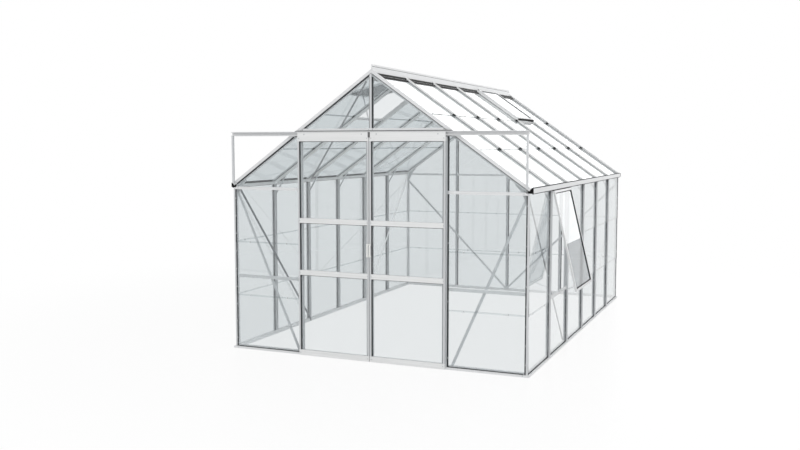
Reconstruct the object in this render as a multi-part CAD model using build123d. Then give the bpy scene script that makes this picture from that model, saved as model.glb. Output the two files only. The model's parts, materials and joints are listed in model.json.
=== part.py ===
from build123d import *
import os
from math import atan2, cos, sin, tan, degrees, radians

# Garden greenhouse: an aluminium frame glazed with lapped panes and hung with a pair of sliding doors.
# Millimetres. X runs across the front gable, Y from the front gable to the back one, Z up from the ground.
# The origin lies under the middle of the front sill. A wall's reference plane is where its bars meet:
# "out" is the distance outside that plane, and negative values lie inside the house.

# Bays and heights
BAY = 622.0
BAYS_ACROSS = 4
BAYS_ALONG = 6
GUTTER_Z = 1350.0
EAVE_RISE = 16.0
TRACK_Z = 1770.0
GABLE_TOP_H = 473.0

# Glazing bar section
CAP_W = 22.0
GABLE_CAP_W = 17.0
CAP_T = 3.0
CAP_FOOT = 15.0
CAP_OUT = 27.0
GABLE_CAP_OUT = 24.0
RIB_W = 5.0
SEAT_OUT = 6.0
SEAT_T = 3.0
CHANNEL_W = 22.0
CHANNEL_IN = 12.0
CHANNEL_D = 9.0
CHANNEL_T = 2.5
SLOT_W = 10.0
CORNER_OUT = 14.0
CORNER_WALL = 3.0
RAFTER_FACE_IN = 6.0
RAFTER_OUT = 30.0
MITRE_GAP = 0.6

# Glass
GLASS_T = 3.0
LAP = 12.0
LAP_PLAY = 0.4
EDGE_PLAY = 2.0
SEAT_PLAY = 0.05
REST_PLAY = 0.3
WALL_LAPS = (447.0, 893.0)
ROOF_LAPS_X = (835.0, 447.0)
ROOF_EDGE_OUT = 6.0
ROOF_TOP_X = 26.0

# Sills
SILL_OUT = 28.0
SILL_LEDGE = 17.0
SILL_H = 30.0
SILL_WALL = 3.0

# Gutters
GUTTER_OUT = 37.0
GUTTER_WALL = 3.0
GUTTER_LIP_H = 35.0
GUTTER_LIP_IN = 7.0
GUTTER_BACK_H = 26.0
END_CAP_D = 8.0
END_CAP_IN = 10.0
END_CAP_RIM = 2.0

# Ridge
RIDGE_HALF = 16.0
RIDGE_BODY_H = 25.0
RIDGE_RISE = 73.0
RIDGE_FIN_HALF = 5.0
RIDGE_CREST_H = 14.0
RIDGE_NECK_H = 3.0
RIDGE_NECK_IN = 2.0
RIDGE_DROP = 48.0
RIDGE_WALL = 3.0

# Gable rails, header and door track
RAIL_DROP = 15.0
RAIL_H = 22.0
RAIL_OUT = 20.0
RAIL_IN = 7.0
MID_RAIL_Z = 600.0
MID_RAIL_H = 25.0
MID_RAIL_D = 10.0
HEADER_DROP = 6.0
HEADER_H = 63.0
HEADER_WALL = 3.0
TRACK_H = 35.0
TRACK_D = 24.0
TRACK_WALL = 2.5
TRACK_LIP = 6.0
TRACK_OVER = 11.0
TRACK_POST_W = 16.0
TRACK_POST_WALL = 2.0
TRACK_FOOT_T = 3.0

# Braces and gussets
BRACED_BAYS = 2
BRACE_W = 22.0
BRACE_T = 3.0
KNEE_W = 14.0
BRACE_CLEAR = 2.0
BRACE_FOOT_Z = 20.0
GABLE_BRACE_FOOT = 38.0
GABLE_BRACE_HEAD = 10.0
GABLE_BRACE_DROP = 32.0
V_BRACE_HEAD = 8.0
V_BRACE_DROP = 82.0
WALL_BRACE_RISE = 32.0
ROOF_BRACE_TOP_X = 62.0
ROOF_BRACE_EAVE = 12.0
KNEE_DROP = 80.0
KNEE_SPAN = 90.0
GUSSET_DROP = 66.0
GUSSET_SPAN = 84.0
GUSSET_SAG = 12.0
GUSSET_END = 12.0
GUSSET_IN = 8.0
GUSSET_T = 3.0

# Roof vents and side window
SASH_SIDE = 7.0
SASH_BAR = 24.0
SASH_T = 15.0
SASH_LIP = 6.0
SASH_LIP_T = 5.0
SASH_SEAT = 0.3
VENT_LEN = 512.0
VENT_HINGE_X = 22.0
VENT_OPEN_DEG = 21.5
LEFT_VENT_BAY = 2
RIGHT_VENT_BAY = 5
VENT_SILL_GAP = 11.6
VENT_SILL_H = 22.0
WINDOW_BAY = 2
WINDOW_LEN = 812.0
WINDOW_HINGE_DROP = 12.0
WINDOW_OPEN_DEG = 13.5
WINDOW_SILL_Z = 470.0
WINDOW_SILL_H = 30.0
WINDOW_HEAD_H = 24.0
STAY_W = 16.0
STAY_T = 4.0

# Door leaves
LEAF_COVER = 4.0
LEAF_GAP = 6.0
LEAF_BACK = 34.0
LEAF_FRONT = 58.0
LEAF_LOW_Z = 6.0
HANGER_RISE = 28.0
STILE_FACE = 14.0
STILE_W = 28.0
DOOR_GLASS_OUT = 40.0
DOOR_BAND_OUT = 49.0
BOTTOM_RAIL_TOP_Z = 50.0
BOTTOM_RAIL_WEB_Z = 34.0
MID_BANDS = ((660.0, 700.0), (1079.0, 1118.0))
BAND_WEB = 12.0
TOP_RAIL_DROP = 42.0
TOP_RAIL_WEB_H = 18.0
HANGER_T = 4.0
TRACK_CLEAR = 6.0
ROLLER_R = 10.0
ROLLER_W = 11.0
ROLLER_GROOVE = 1.5
ROLLER_INSET = 60.0
AXLE_R = 3.0
HANDLE_Z = 833.0
HANDLE_H = 103.0
HANDLE_W = 13.0
HANDLE_D = 19.0
HANDLE_GRIP_T = 6.0
HANDLE_FOOT = 14.0
HANDLE_R = 2.5

# Worked out from the sizes above
HALF_W = BAY * BAYS_ACROSS / 2
LENGTH = BAY * BAYS_ALONG
RIDGE_Z = TRACK_Z + GABLE_TOP_H
PITCH = atan2(RIDGE_Z - GUTTER_Z - EAVE_RISE, HALF_W)
RISE = tan(PITCH)
GLASS_STEP = GLASS_T + LAP_PLAY
CROSS_BAR_OUT = CAP_FOOT - REST_PLAY
INNER_X = HALF_W - CHANNEL_IN
ROOF_EDGE_X = HALF_W + ROOF_EDGE_OUT
GUTTER_LIP_Z = GUTTER_Z + GUTTER_LIP_H
RIDGE_TOP_Z = RIDGE_Z + RIDGE_RISE
RIDGE_FOOT_Z = RIDGE_Z - RIDGE_DROP
RAIL_Z = GUTTER_Z - RAIL_DROP
HEADER_Z = TRACK_Z - HEADER_DROP
HEADER_TOP_Z = HEADER_Z + HEADER_H
SASH_W = BAY - 2 * SASH_SIDE
WINDOW_HINGE_Z = GUTTER_Z - WINDOW_HINGE_DROP
LEAF_W = BAY + LEAF_COVER - LEAF_GAP / 2
LEAF_TOP_Z = TRACK_Z + HANGER_RISE
TOP_RAIL_Z = TRACK_Z - TOP_RAIL_DROP
FAR = 4 * LENGTH


def roof_z(x, out):
    """Height of the right-hand roof surface that lies the given distance outside the roof plane."""
    return RIDGE_Z - RISE * x + out / cos(PITCH)


def roof_x(z, out):
    """Distance from the middle at which that roof surface has the given height."""
    return (RIDGE_Z + out / cos(PITCH) - z) / RISE


def roof_run(x):
    """Distance up the slope from the lower edge of the roof glass to the given x on the roof plane."""
    return (ROOF_EDGE_X - x) / cos(PITCH)


# Wall frames: local x along the wall, local y up it and local z out of the house.
FRONT = Plane(origin=(0, 0, 0), x_dir=(1, 0, 0), z_dir=(0, -1, 0))
RIGHT = Plane(origin=(HALF_W, 0, 0), x_dir=(0, 1, 0), z_dir=(1, 0, 0))
SLOPE = Plane(
    origin=(ROOF_EDGE_X, 0, roof_z(ROOF_EDGE_X, 0)),
    x_dir=(0, 1, 0),
    z_dir=(sin(PITCH), 0, cos(PITCH)),
)


def on(plane, shape):
    """The shape moved from a wall's own frame to its place."""
    return plane.location * shape


def across(shape):
    """The same piece on the other side of the ridge."""
    return mirror(shape, about=Plane.YZ)


def endwise(shape):
    """The same piece at the other end of the house."""
    return mirror(shape, about=Plane.XZ.offset(-LENGTH / 2))


def block(x0, x1, y0, y1, z0, z1):
    """Box between two corners."""
    centre = Pos((x0 + x1) / 2, (y0 + y1) / 2, (z0 + z1) / 2)
    return centre * Box(x1 - x0, y1 - y0, z1 - z0)


def rect(a0, a1, b0, b1):
    """Rectangle between two corners of a section."""
    return Pos((a0 + a1) / 2, (b0 + b1) / 2) * Rectangle(a1 - a0, b1 - b0)


def outline(points):
    """Face inside a closed run of straight edges."""
    return make_face(Polyline(*points, close=True))


def upright(section, low, high):
    """Section drawn as (along, out), carried up a wall."""
    return extrude(Plane.XZ * section, amount=low - high).translate((0, low, 0))


def level(section, start, end):
    """Section drawn as (up, out), carried along a wall."""
    return extrude(Plane.YZ * section, amount=end - start).translate((start, 0, 0))


def plate(points, out0, out1):
    """Flat plate of the given outline between two distances out."""
    return extrude(outline(points), amount=out1 - out0).translate((0, 0, out0))


def prism_y(points, y0, y1):
    """Outline drawn as (x, z), carried along the house."""
    face = Plane.XZ * outline(points)
    return extrude(face, amount=y0 - y1).translate((0, y0, 0))


def strip(a, b, width):
    """Corners of a flat bar of the given width from point a to point b."""
    run = Vector(b[0] - a[0], b[1] - a[1]).normalized() * (width / 2)
    side = (-run.Y, run.X)
    return (
        (a[0] + side[0], a[1] + side[1]),
        (b[0] + side[0], b[1] + side[1]),
        (b[0] - side[0], b[1] - side[1]),
        (a[0] - side[0], a[1] - side[1]),
    )


def save(name, solids):
    """Write one node from its separate solids."""
    pieces = [solid for shape in solids for solid in shape.solids()]
    export_step(Compound(pieces), f"parts/{name}.step")


# Sections
def bar_section(cap_w, cap_out):
    """Glazing bar: hollow cap, rib, glass seat and an inner bolt channel with two lips, as (along, out)."""
    cap = rect(-cap_w / 2, cap_w / 2, CAP_FOOT, cap_out)
    cap -= rect(CAP_T - cap_w / 2, cap_w / 2 - CAP_T, CAP_FOOT, cap_out - CAP_T)
    rib = rect(-RIB_W / 2, RIB_W / 2, CHANNEL_D - CHANNEL_IN - CHANNEL_T, cap_out)
    seat = rect(-CHANNEL_W / 2, CHANNEL_W / 2, SEAT_OUT - SEAT_T, SEAT_OUT)
    channel = rect(-CHANNEL_W / 2, CHANNEL_W / 2, -CHANNEL_IN, CHANNEL_D - CHANNEL_IN)
    bore = rect(
        CHANNEL_T - CHANNEL_W / 2,
        CHANNEL_W / 2 - CHANNEL_T,
        CHANNEL_T - CHANNEL_IN,
        CHANNEL_D - CHANNEL_IN - CHANNEL_T,
    )
    slot = rect(-SLOT_W / 2, SLOT_W / 2, -CHANNEL_IN, CHANNEL_T - CHANNEL_IN)
    return cap + rib + seat + (channel - bore - slot)


def corner_section(side_in, side_out):
    """Corner bar for two walls, drawn as (out of the gable, out of the side): a tube and a face block."""
    inner = rect(-CHANNEL_IN, SEAT_OUT, -CHANNEL_IN, SEAT_OUT)
    face = rect(0, CORNER_OUT, side_in, side_out)
    inner_bore = rect(
        CORNER_WALL - CHANNEL_IN,
        SEAT_OUT - CORNER_WALL,
        CORNER_WALL - CHANNEL_IN,
        SEAT_OUT - CORNER_WALL,
    )
    face_bore = rect(CORNER_WALL, CORNER_OUT - CORNER_WALL, SEAT_OUT + CORNER_WALL, side_out - CORNER_WALL)
    return inner + face - inner_bore - face_bore


def sill_section():
    """Sill: a tube under the bars and a low outer box that the glass stands on, drawn as (up, out)."""
    tube = rect(0, SILL_H, -CHANNEL_IN, SEAT_OUT)
    ledge = rect(0, SILL_LEDGE, -CHANNEL_IN, SILL_OUT)
    tube_bore = rect(SILL_WALL, SILL_H - SILL_WALL, SILL_WALL - CHANNEL_IN, SEAT_OUT - SILL_WALL)
    ledge_bore = rect(SILL_WALL, SILL_LEDGE - SILL_WALL, SEAT_OUT, SILL_OUT - SILL_WALL)
    return tube + ledge - tube_bore - ledge_bore


BAR = bar_section(CAP_W, CAP_OUT)
GABLE_BAR = bar_section(GABLE_CAP_W, GABLE_CAP_OUT)
CORNER = corner_section(0, CORNER_OUT)
RAFTER = corner_section(RAFTER_FACE_IN, RAFTER_OUT)
SILL = sill_section()

# The roof bars stop at the ridge's side, and below the glass they stop at the gutter's back.
# In front of the ridge's end the rafters run on and meet in a mitre.
RIDGE_CUT = block(-FAR, RIDGE_HALF, -FAR, FAR, 0, FAR)
APEX_CUT = block(-FAR, RIDGE_HALF, 0, FAR, 0, FAR) + block(-FAR, MITRE_GAP / 2, -FAR, 0, 0, FAR)
EAVE_END_X = HALF_W + BAY
EAVE_CUT = prism_y(
    (
        (INNER_X, roof_z(INNER_X, SEAT_OUT)),
        (INNER_X, 0),
        (EAVE_END_X, 0),
        (EAVE_END_X, roof_z(EAVE_END_X, SEAT_OUT)),
    ),
    -FAR,
    FAR,
)


def gable_rafter():
    """Front rafter on the right: a corner section with a taller face, laid up the slope."""
    section = mirror(RAFTER, about=Plane.YZ)
    rafter = on(SLOPE, upright(section, 0, roof_run(-RIDGE_HALF)))
    return rafter - APEX_CUT - EAVE_CUT


def rafter_room():
    """Space that the front right rafter and the roof over it take from the gable's posts and rails."""
    reach = roof_run(-BAY)
    behind = block(-SEAT_OUT, CHANNEL_IN, -BAY, reach, -CHANNEL_IN, BAY)
    before = block(-GABLE_CAP_OUT - TRACK_D, 0, -BAY, reach, 0, BAY)
    return on(SLOPE, behind + before)


def apex_room():
    """Space that the front rafters and the ridge behind them take from a post under the apex."""
    room = rafter_room()
    return room + across(room) + block(-RIDGE_HALF, RIDGE_HALF, 0, LENGTH, RIDGE_FOOT_Z, FAR)


def foot_room():
    """Space that the sill's tube takes from the feet of the bars."""
    return block(-FAR, FAR, -FAR, SILL_H, -FAR, SEAT_OUT)


# Sills, mitred at the corners
def sill(half):
    """Sill along a wall, with its middle at the wall frame's origin and its ends cut at 45 degrees."""
    long_bar = level(SILL, -half - SILL_OUT, half + SILL_OUT)
    plan = (
        (-half + CHANNEL_IN, -CHANNEL_IN),
        (half - CHANNEL_IN, -CHANNEL_IN),
        (half + SILL_OUT, SILL_OUT),
        (-half - SILL_OUT, SILL_OUT),
    )
    mitre = upright(outline(plan), 0, SILL_H)
    return long_bar & mitre


def sills():
    front = on(FRONT, sill(HALF_W))
    right = on(RIGHT, Pos(LENGTH / 2, 0, 0) * sill(LENGTH / 2))
    save("front_sill", [front])
    save("back_sill", [endwise(front)])
    save("right_sill", [right])
    save("left_sill", [across(right)])


# Posts and wall bars
def corner_posts():
    section = mirror(CORNER, about=Plane.YZ)
    foot = rect(-SEAT_OUT, CHANNEL_IN, -CHANNEL_IN, SEAT_OUT)
    post = on(RIGHT, upright(section, SILL_LEDGE, GUTTER_Z) - upright(foot, SILL_LEDGE, SILL_H))
    front = [post, across(post)]
    save("corner_posts", front + [endwise(piece) for piece in front])


def wall_bar(section, top):
    """Glazing bar from the sill's ledge up to the given height."""
    return upright(section, SILL_LEDGE, top) - foot_room()


def wall_bars():
    bar = on(RIGHT, wall_bar(BAR, GUTTER_Z))
    bars = [Pos(0, BAY * k, 0) * bar for k in range(1, BAYS_ALONG)]
    save("right_wall_bars", bars)
    save("left_wall_bars", [across(piece) for piece in bars])


def gable_posts():
    room = rafter_room()
    short = on(FRONT, Pos(BAY, 0, 0) * wall_bar(GABLE_BAR, HEADER_Z)) - room
    tall = on(FRONT, Pos(BAY, 0, 0) * wall_bar(GABLE_BAR, RIDGE_FOOT_Z)) - room
    king = on(FRONT, upright(GABLE_BAR, HEADER_TOP_Z, RIDGE_Z)) - apex_room()
    middle = on(FRONT, wall_bar(GABLE_BAR, RIDGE_Z)) - apex_room()
    save("front_gable_posts", [short, across(short), king])
    save("back_gable_posts", [endwise(tall), endwise(across(tall)), endwise(middle)])


# Roof frame
def gutters():
    back_x = INNER_X
    front_x = HALF_W + GUTTER_OUT
    profile = rect(back_x, front_x, GUTTER_Z, GUTTER_Z + GUTTER_WALL)
    profile += rect(back_x, back_x + GUTTER_WALL, GUTTER_Z, GUTTER_Z + GUTTER_BACK_H)
    profile += rect(front_x - GUTTER_WALL, front_x, GUTTER_Z, GUTTER_LIP_Z)
    profile += rect(front_x - GUTTER_LIP_IN, front_x, GUTTER_LIP_Z - GUTTER_WALL, GUTTER_LIP_Z)
    gutter = extrude(Plane.XZ * profile, amount=-LENGTH)
    save("right_gutter", [gutter])
    save("left_gutter", [across(gutter)])

    high_z = GUTTER_LIP_Z + END_CAP_RIM
    cap = block(INNER_X + END_CAP_IN, front_x + END_CAP_RIM, -END_CAP_D, 0, GUTTER_Z, high_z)
    rafter_end = block(-CORNER_OUT, 0, -REST_PLAY, BAY, RAFTER_FACE_IN - REST_PLAY, BAY)
    cap -= on(SLOPE, rafter_end)
    front = [cap, across(cap)]
    save("gutter_end_caps", front + [endwise(piece) for piece in front])

    half = TRACK_POST_W / 2
    middle_y = -GABLE_CAP_OUT - TRACK_D / 2
    tube = Rectangle(TRACK_POST_W, TRACK_POST_W)
    tube -= Rectangle(TRACK_POST_W - 2 * TRACK_POST_WALL, TRACK_POST_W - 2 * TRACK_POST_WALL)
    post = extrude(tube, amount=TRACK_Z - high_z).translate((HALF_W, middle_y, high_z))
    foot = block(HALF_W - half, HALF_W + half, middle_y - half, -CORNER_OUT, high_z - TRACK_FOOT_T, high_z)
    post += foot
    save("track_posts", [post, across(post)])


def roof_bars():
    rafter = gable_rafter()
    front = [rafter, across(rafter)]
    save("gable_rafters", front + [endwise(piece) for piece in front])
    bar = on(SLOPE, upright(BAR, 0, roof_run(-RIDGE_HALF))) - RIDGE_CUT - EAVE_CUT
    bars = [Pos(0, BAY * k, 0) * bar for k in range(1, BAYS_ALONG)]
    save("right_roof_bars", bars)
    save("left_roof_bars", [across(piece) for piece in bars])


def ridge_bar():
    """Hollow body between the slopes, with a slim fin above it that ends in a crest over a groove."""
    body_z = RIDGE_Z + RIDGE_BODY_H
    crest_z = RIDGE_TOP_Z - RIDGE_CREST_H
    neck_z = crest_z - RIDGE_NECK_H
    neck_half = RIDGE_FIN_HALF - RIDGE_NECK_IN
    core_half = RIDGE_HALF - RIDGE_WALL
    profile = rect(-RIDGE_HALF, RIDGE_HALF, RIDGE_FOOT_Z, body_z)
    profile -= rect(-core_half, core_half, RIDGE_FOOT_Z, body_z - RIDGE_WALL)
    profile += rect(-RIDGE_FIN_HALF, RIDGE_FIN_HALF, body_z - RIDGE_WALL, neck_z)
    profile += rect(-neck_half, neck_half, neck_z, crest_z)
    profile += rect(-RIDGE_FIN_HALF, RIDGE_FIN_HALF, crest_z, RIDGE_TOP_Z)
    save("ridge_bar", [extrude(Plane.XZ * profile, amount=-LENGTH)])


# Gable rails, header and track
def hollow(up0, up1, out0, out1, wall):
    """Box section with an open core, drawn as (up, out)."""
    return rect(up0, up1, out0, out1) - rect(up0 + wall, up1 - wall, out0 + wall, out1 - wall)


def eave_rail(start, end, face_end):
    """Rail in a gable at the eaves, with its outer face carried on to the corner post's block."""
    low, high = RAIL_Z, RAIL_Z + RAIL_H
    body = level(hollow(low, high, -RAIL_IN, RAIL_OUT, CHANNEL_T), start, end)
    if face_end > end:
        body += level(hollow(low, GUTTER_Z, SEAT_OUT, RAIL_OUT, CHANNEL_T), end, face_end)
    return body


def gable_rails():
    corner = on(FRONT, eave_rail(BAY + CHANNEL_W / 2, INNER_X, HALF_W)) - rafter_room()
    inner = on(FRONT, eave_rail(CHANNEL_W / 2, BAY - CHANNEL_W / 2, 0))
    front = [corner, across(corner)]
    back = [corner, across(corner), inner, across(inner)]
    save("eave_rails", front + [endwise(piece) for piece in back])

    section = hollow(
        MID_RAIL_Z,
        MID_RAIL_Z + MID_RAIL_H,
        SEAT_OUT - SEAT_T - REST_PLAY - MID_RAIL_D,
        SEAT_OUT - SEAT_T - REST_PLAY,
        CHANNEL_T,
    )
    mid = on(FRONT, level(section, BAY + CHANNEL_W / 2, INNER_X))
    save("front_mid_rails", [mid, across(mid)])


def header_and_track():
    section = hollow(HEADER_Z, HEADER_TOP_Z, -CHANNEL_IN, GABLE_CAP_OUT, HEADER_WALL)
    header = on(FRONT, level(section, -HALF_W, HALF_W))
    room = rafter_room()
    header = header - room - across(room)
    save("door_header", [header])

    back, front = GABLE_CAP_OUT, GABLE_CAP_OUT + TRACK_D
    low, high = TRACK_Z, TRACK_Z + TRACK_H
    profile = rect(low, high, back, front)
    profile -= rect(low + TRACK_WALL, high - TRACK_WALL, back + TRACK_WALL, front - TRACK_WALL)
    profile -= rect(low + TRACK_LIP, high - TRACK_LIP, front - TRACK_WALL, front)
    save("door_track", [on(FRONT, level(profile, -HALF_W - TRACK_OVER, HALF_W + TRACK_OVER))])


# Bracing inside the frame
def gable_braces():
    """Slanting bars from the eave corners: to the door posts' feet in front, in a V behind."""
    inner, outer = -CHANNEL_IN - BRACE_T, -CHANNEL_IN
    front_foot = (BAY + GABLE_BRACE_FOOT, BRACE_FOOT_Z)
    front_head = (HALF_W - GABLE_BRACE_HEAD, GUTTER_Z - GABLE_BRACE_DROP)
    front = on(FRONT, plate(strip(front_foot, front_head, BRACE_W), inner, outer))
    back_head = (HALF_W - V_BRACE_HEAD, GUTTER_Z - V_BRACE_DROP)
    leg = plate(strip((-BRACE_W, SILL_WALL), back_head, BRACE_W), inner, outer)
    leg = leg & block(BRACE_CLEAR / 2, HALF_W, SILL_WALL, GUTTER_Z, inner, outer)
    back = endwise(on(FRONT, leg))
    save("gable_braces", [front, across(front), back, across(back)])


def side_braces():
    """Slanting bars in the long walls and under the roof, over two bays at each end of the house."""
    inner, outer = -CHANNEL_IN - BRACE_T, -CHANNEL_IN
    span = BRACED_BAYS * BAY
    clear_y = CHANNEL_IN + BRACE_T + BRACE_CLEAR
    wall_head = (0, GUTTER_Z + WALL_BRACE_RISE)
    wall_foot = (span + BRACE_W, -BRACE_W / 2)
    wall = plate(strip(wall_head, wall_foot, BRACE_W), inner, outer)
    wall = wall & block(clear_y, span, SILL_WALL, GUTTER_Z + GUTTER_BACK_H, inner, outer)
    wall = on(RIGHT, wall)
    side = [wall, across(wall)]
    save("side_wall_braces", side + [endwise(piece) for piece in side])

    high_run = roof_run(ROOF_BRACE_TOP_X)
    low_run = roof_run(INNER_X - ROOF_BRACE_EAVE)
    roof = plate(strip((0, high_run + BRACE_W), (span, low_run), BRACE_W), inner, outer)
    roof = roof & block(BRACE_CLEAR, span - BRACE_CLEAR, low_run, high_run, inner, outer)
    roof = on(SLOPE, roof)
    slopes = [roof, across(roof)]
    save("roof_braces", slopes + [endwise(piece) for piece in slopes])


def knee_braces():
    """Short bars across the eave angle, on the side of each bar's bolt channel."""
    low = (INNER_X + CHANNEL_D / 2, GUTTER_Z - KNEE_DROP)
    high_x = INNER_X - KNEE_SPAN
    high = (high_x, roof_z(high_x, CHANNEL_D / 2 - CHANNEL_IN))
    knee = prism_y(strip(low, high, KNEE_W), CHANNEL_W / 2, CHANNEL_W / 2 + BRACE_T)
    knees = [Pos(0, BAY * k, 0) * knee for k in range(1, BAYS_ALONG)]
    save("knee_braces", knees + [across(piece) for piece in knees])


def gussets():
    """Flat plates in the gables' eave corners, with blunt ends and a hollow inner edge."""
    corner = (INNER_X, roof_z(INNER_X, -CHANNEL_IN))
    high_x = INNER_X - GUSSET_SPAN
    high = (high_x, roof_z(high_x, -CHANNEL_IN))
    high_end = (high[0] - GUSSET_END * sin(PITCH), high[1] - GUSSET_END * cos(PITCH))
    low_z = GUTTER_Z - GUSSET_DROP
    low = (INNER_X, low_z)
    low_end = (INNER_X - GUSSET_END, low_z)
    chord = Vector(high_end[0] - low_end[0], high_end[1] - low_end[1])
    sag = Vector(chord.Y, -chord.X).normalized() * GUSSET_SAG
    hollow_point = ((low_end[0] + high_end[0]) / 2 + sag.X, (low_end[1] + high_end[1]) / 2 + sag.Y)
    edge = Polyline(low_end, low, corner, high, high_end)
    edge += ThreePointArc(high_end, hollow_point, low_end)
    gusset = extrude(make_face(edge), amount=GUSSET_T).translate((0, 0, -GUSSET_IN - GUSSET_T))
    gusset = on(FRONT, gusset)
    front = [gusset, across(gusset)]
    save("eave_gussets", front + [endwise(piece) for piece in front])


# Glass
def leaning_pane(x0, x1, low, high):
    """Pane whose lower edge stands out over the pane below, drawn in a wall's frame."""
    height = high - low
    lean = atan2(GLASS_STEP, height)
    sheet = Box(x1 - x0, height, GLASS_T)
    middle_out = SEAT_OUT + SEAT_PLAY + GLASS_STEP / 2 + GLASS_T / 2
    place = Pos((x0 + x1) / 2, (low + high) / 2, middle_out)
    return place * Rot(-degrees(lean), 0, 0) * sheet


def rows(laps, low, high):
    """Lower and upper edge of each pane in a lapped column, from the bottom."""
    starts = (low,) + tuple(laps)
    ends = tuple(edge + LAP for edge in laps) + (high,)
    return list(zip(starts, ends))


RIB_EDGE = RIB_W / 2 + EDGE_PLAY
WALL_ROWS = rows(WALL_LAPS, SILL_LEDGE + REST_PLAY, GUTTER_Z - EDGE_PLAY)
GABLE_ROWS = rows(WALL_LAPS, SILL_LEDGE + REST_PLAY, RAIL_Z - EDGE_PLAY)
ROOF_ROWS = rows([roof_run(x) for x in ROOF_LAPS_X], EDGE_PLAY, roof_run(ROOF_TOP_X))
VENT_SILL_TOP = roof_run(VENT_HINGE_X) - VENT_LEN - VENT_SILL_GAP


def bay_edges(bay, bays):
    """Edges of the glass in one bay: a wider margin beside the corner bars than beside a rib."""
    start = BAY * (bay - 1) + (EDGE_PLAY if bay == 1 else RIB_EDGE)
    end = BAY * bay - (EDGE_PLAY if bay == bays else RIB_EDGE)
    return start, end


def side_glass():
    right = []
    left = []
    for bay in range(1, BAYS_ALONG + 1):
        start, end = bay_edges(bay, BAYS_ALONG)
        for row, (low, high) in enumerate(WALL_ROWS):
            pane = on(RIGHT, leaning_pane(start, end, low, high))
            left.append(across(pane))
            if bay != WINDOW_BAY:
                right.append(pane)
            elif row == 0:
                right.append(on(RIGHT, leaning_pane(start, end, low, WINDOW_SILL_Z - EDGE_PLAY)))
    save("right_wall_glass", right)
    save("left_wall_glass", left)


def roof_glass():
    vent_rows = ROOF_ROWS[:-2] + [(ROOF_ROWS[-2][0], VENT_SILL_TOP - VENT_SILL_H - EDGE_PLAY)]

    def slope_panes(vent_bay):
        """Panes of one slope, with the vent's bay left open above its sill."""
        panes = []
        for bay in range(1, BAYS_ALONG + 1):
            start, end = bay_edges(bay, BAYS_ALONG)
            for low, high in vent_rows if bay == vent_bay else ROOF_ROWS:
                panes.append(on(SLOPE, leaning_pane(start, end, low, high)))
        return panes

    save("right_roof_glass", slope_panes(RIGHT_VENT_BAY))
    save("left_roof_glass", [across(pane) for pane in slope_panes(LEFT_VENT_BAY)])


def gable_glass():
    seat = SEAT_OUT + SEAT_PLAY
    top = RAFTER_FACE_IN - EDGE_PLAY

    def roof_pane(x0, x1, low, ceiling=RIDGE_Z):
        """Pane under the slope, from x0 to x1 and from the given height up to the rafter's block."""
        end = min(x1, roof_x(low, top))
        points = [(x0, low), (end, low)]
        if roof_z(end, top) > low:
            points.append((end, roof_z(end, top)))
        if roof_z(x0, top) > ceiling:
            points.append((roof_x(ceiling, top), ceiling))
        points.append((x0, min(ceiling, roof_z(x0, top))))
        return on(FRONT, plate(points, seat, seat + GLASS_T))

    over_rail = RAIL_Z + RAIL_H + REST_PLAY
    over_header = HEADER_TOP_Z + REST_PLAY
    corner_end = HALF_W - EDGE_PLAY
    column = [on(FRONT, leaning_pane(BAY + RIB_EDGE, corner_end, *row)) for row in GABLE_ROWS]
    inner = [on(FRONT, leaning_pane(RIB_EDGE, BAY - RIB_EDGE, *row)) for row in GABLE_ROWS]
    corner_top = roof_pane(BAY + RIB_EDGE, INNER_X - EDGE_PLAY, over_rail)
    door_side_top = roof_pane(BAY + RIB_EDGE, INNER_X - EDGE_PLAY, over_rail, HEADER_Z - EDGE_PLAY)
    king_top = roof_pane(RIB_EDGE, BAY, over_header)
    inner_top = roof_pane(RIB_EDGE, BAY - RIB_EDGE, over_rail)
    front = column + [door_side_top, king_top]
    back = column + inner + [corner_top, inner_top]
    save("front_gable_glass", front + [across(pane) for pane in front])
    save("back_gable_glass", [endwise(pane) for pane in back + [across(pane) for pane in back]])


# Roof vents and side window
def sash(length):
    """Frame and pane of a vent or window, with its hinge edge on the local x axis and its free edge below."""
    half = SASH_W / 2
    frame = block(-half, half, -length, 0, 0, SASH_T)
    frame -= block(SASH_BAR - half, half - SASH_BAR, SASH_BAR - length, -SASH_BAR, 0, SASH_T)
    rim = SASH_BAR - SASH_LIP
    frame -= block(rim - half, half - rim, rim - length, -rim, SASH_LIP_T, SASH_T)
    edge = rim + EDGE_PLAY / 2
    pane = block(
        edge - half, half - edge, edge - length, -edge, SASH_LIP_T, SASH_LIP_T + GLASS_T
    )
    return frame, pane


def cross_bar(low, high):
    """Bar across one bay between two ribs, lying on their glass seats."""
    return block(RIB_W / 2, BAY - RIB_W / 2, low, high, SEAT_OUT, CROSS_BAR_OUT)


def stay(hinge, free_run, turn, seat):
    """Flat bar from a cross bar's face to the underside of an open sash, drawn as (up the wall, out)."""
    points = []
    for run in (free_run, free_run + STAY_T):
        points.append((hinge[0] - run * cos(turn), hinge[1] + run * sin(turn) - SASH_SEAT))
    points.append((seat[0] - STAY_T, seat[1]))
    points.append(seat)
    return points


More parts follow.
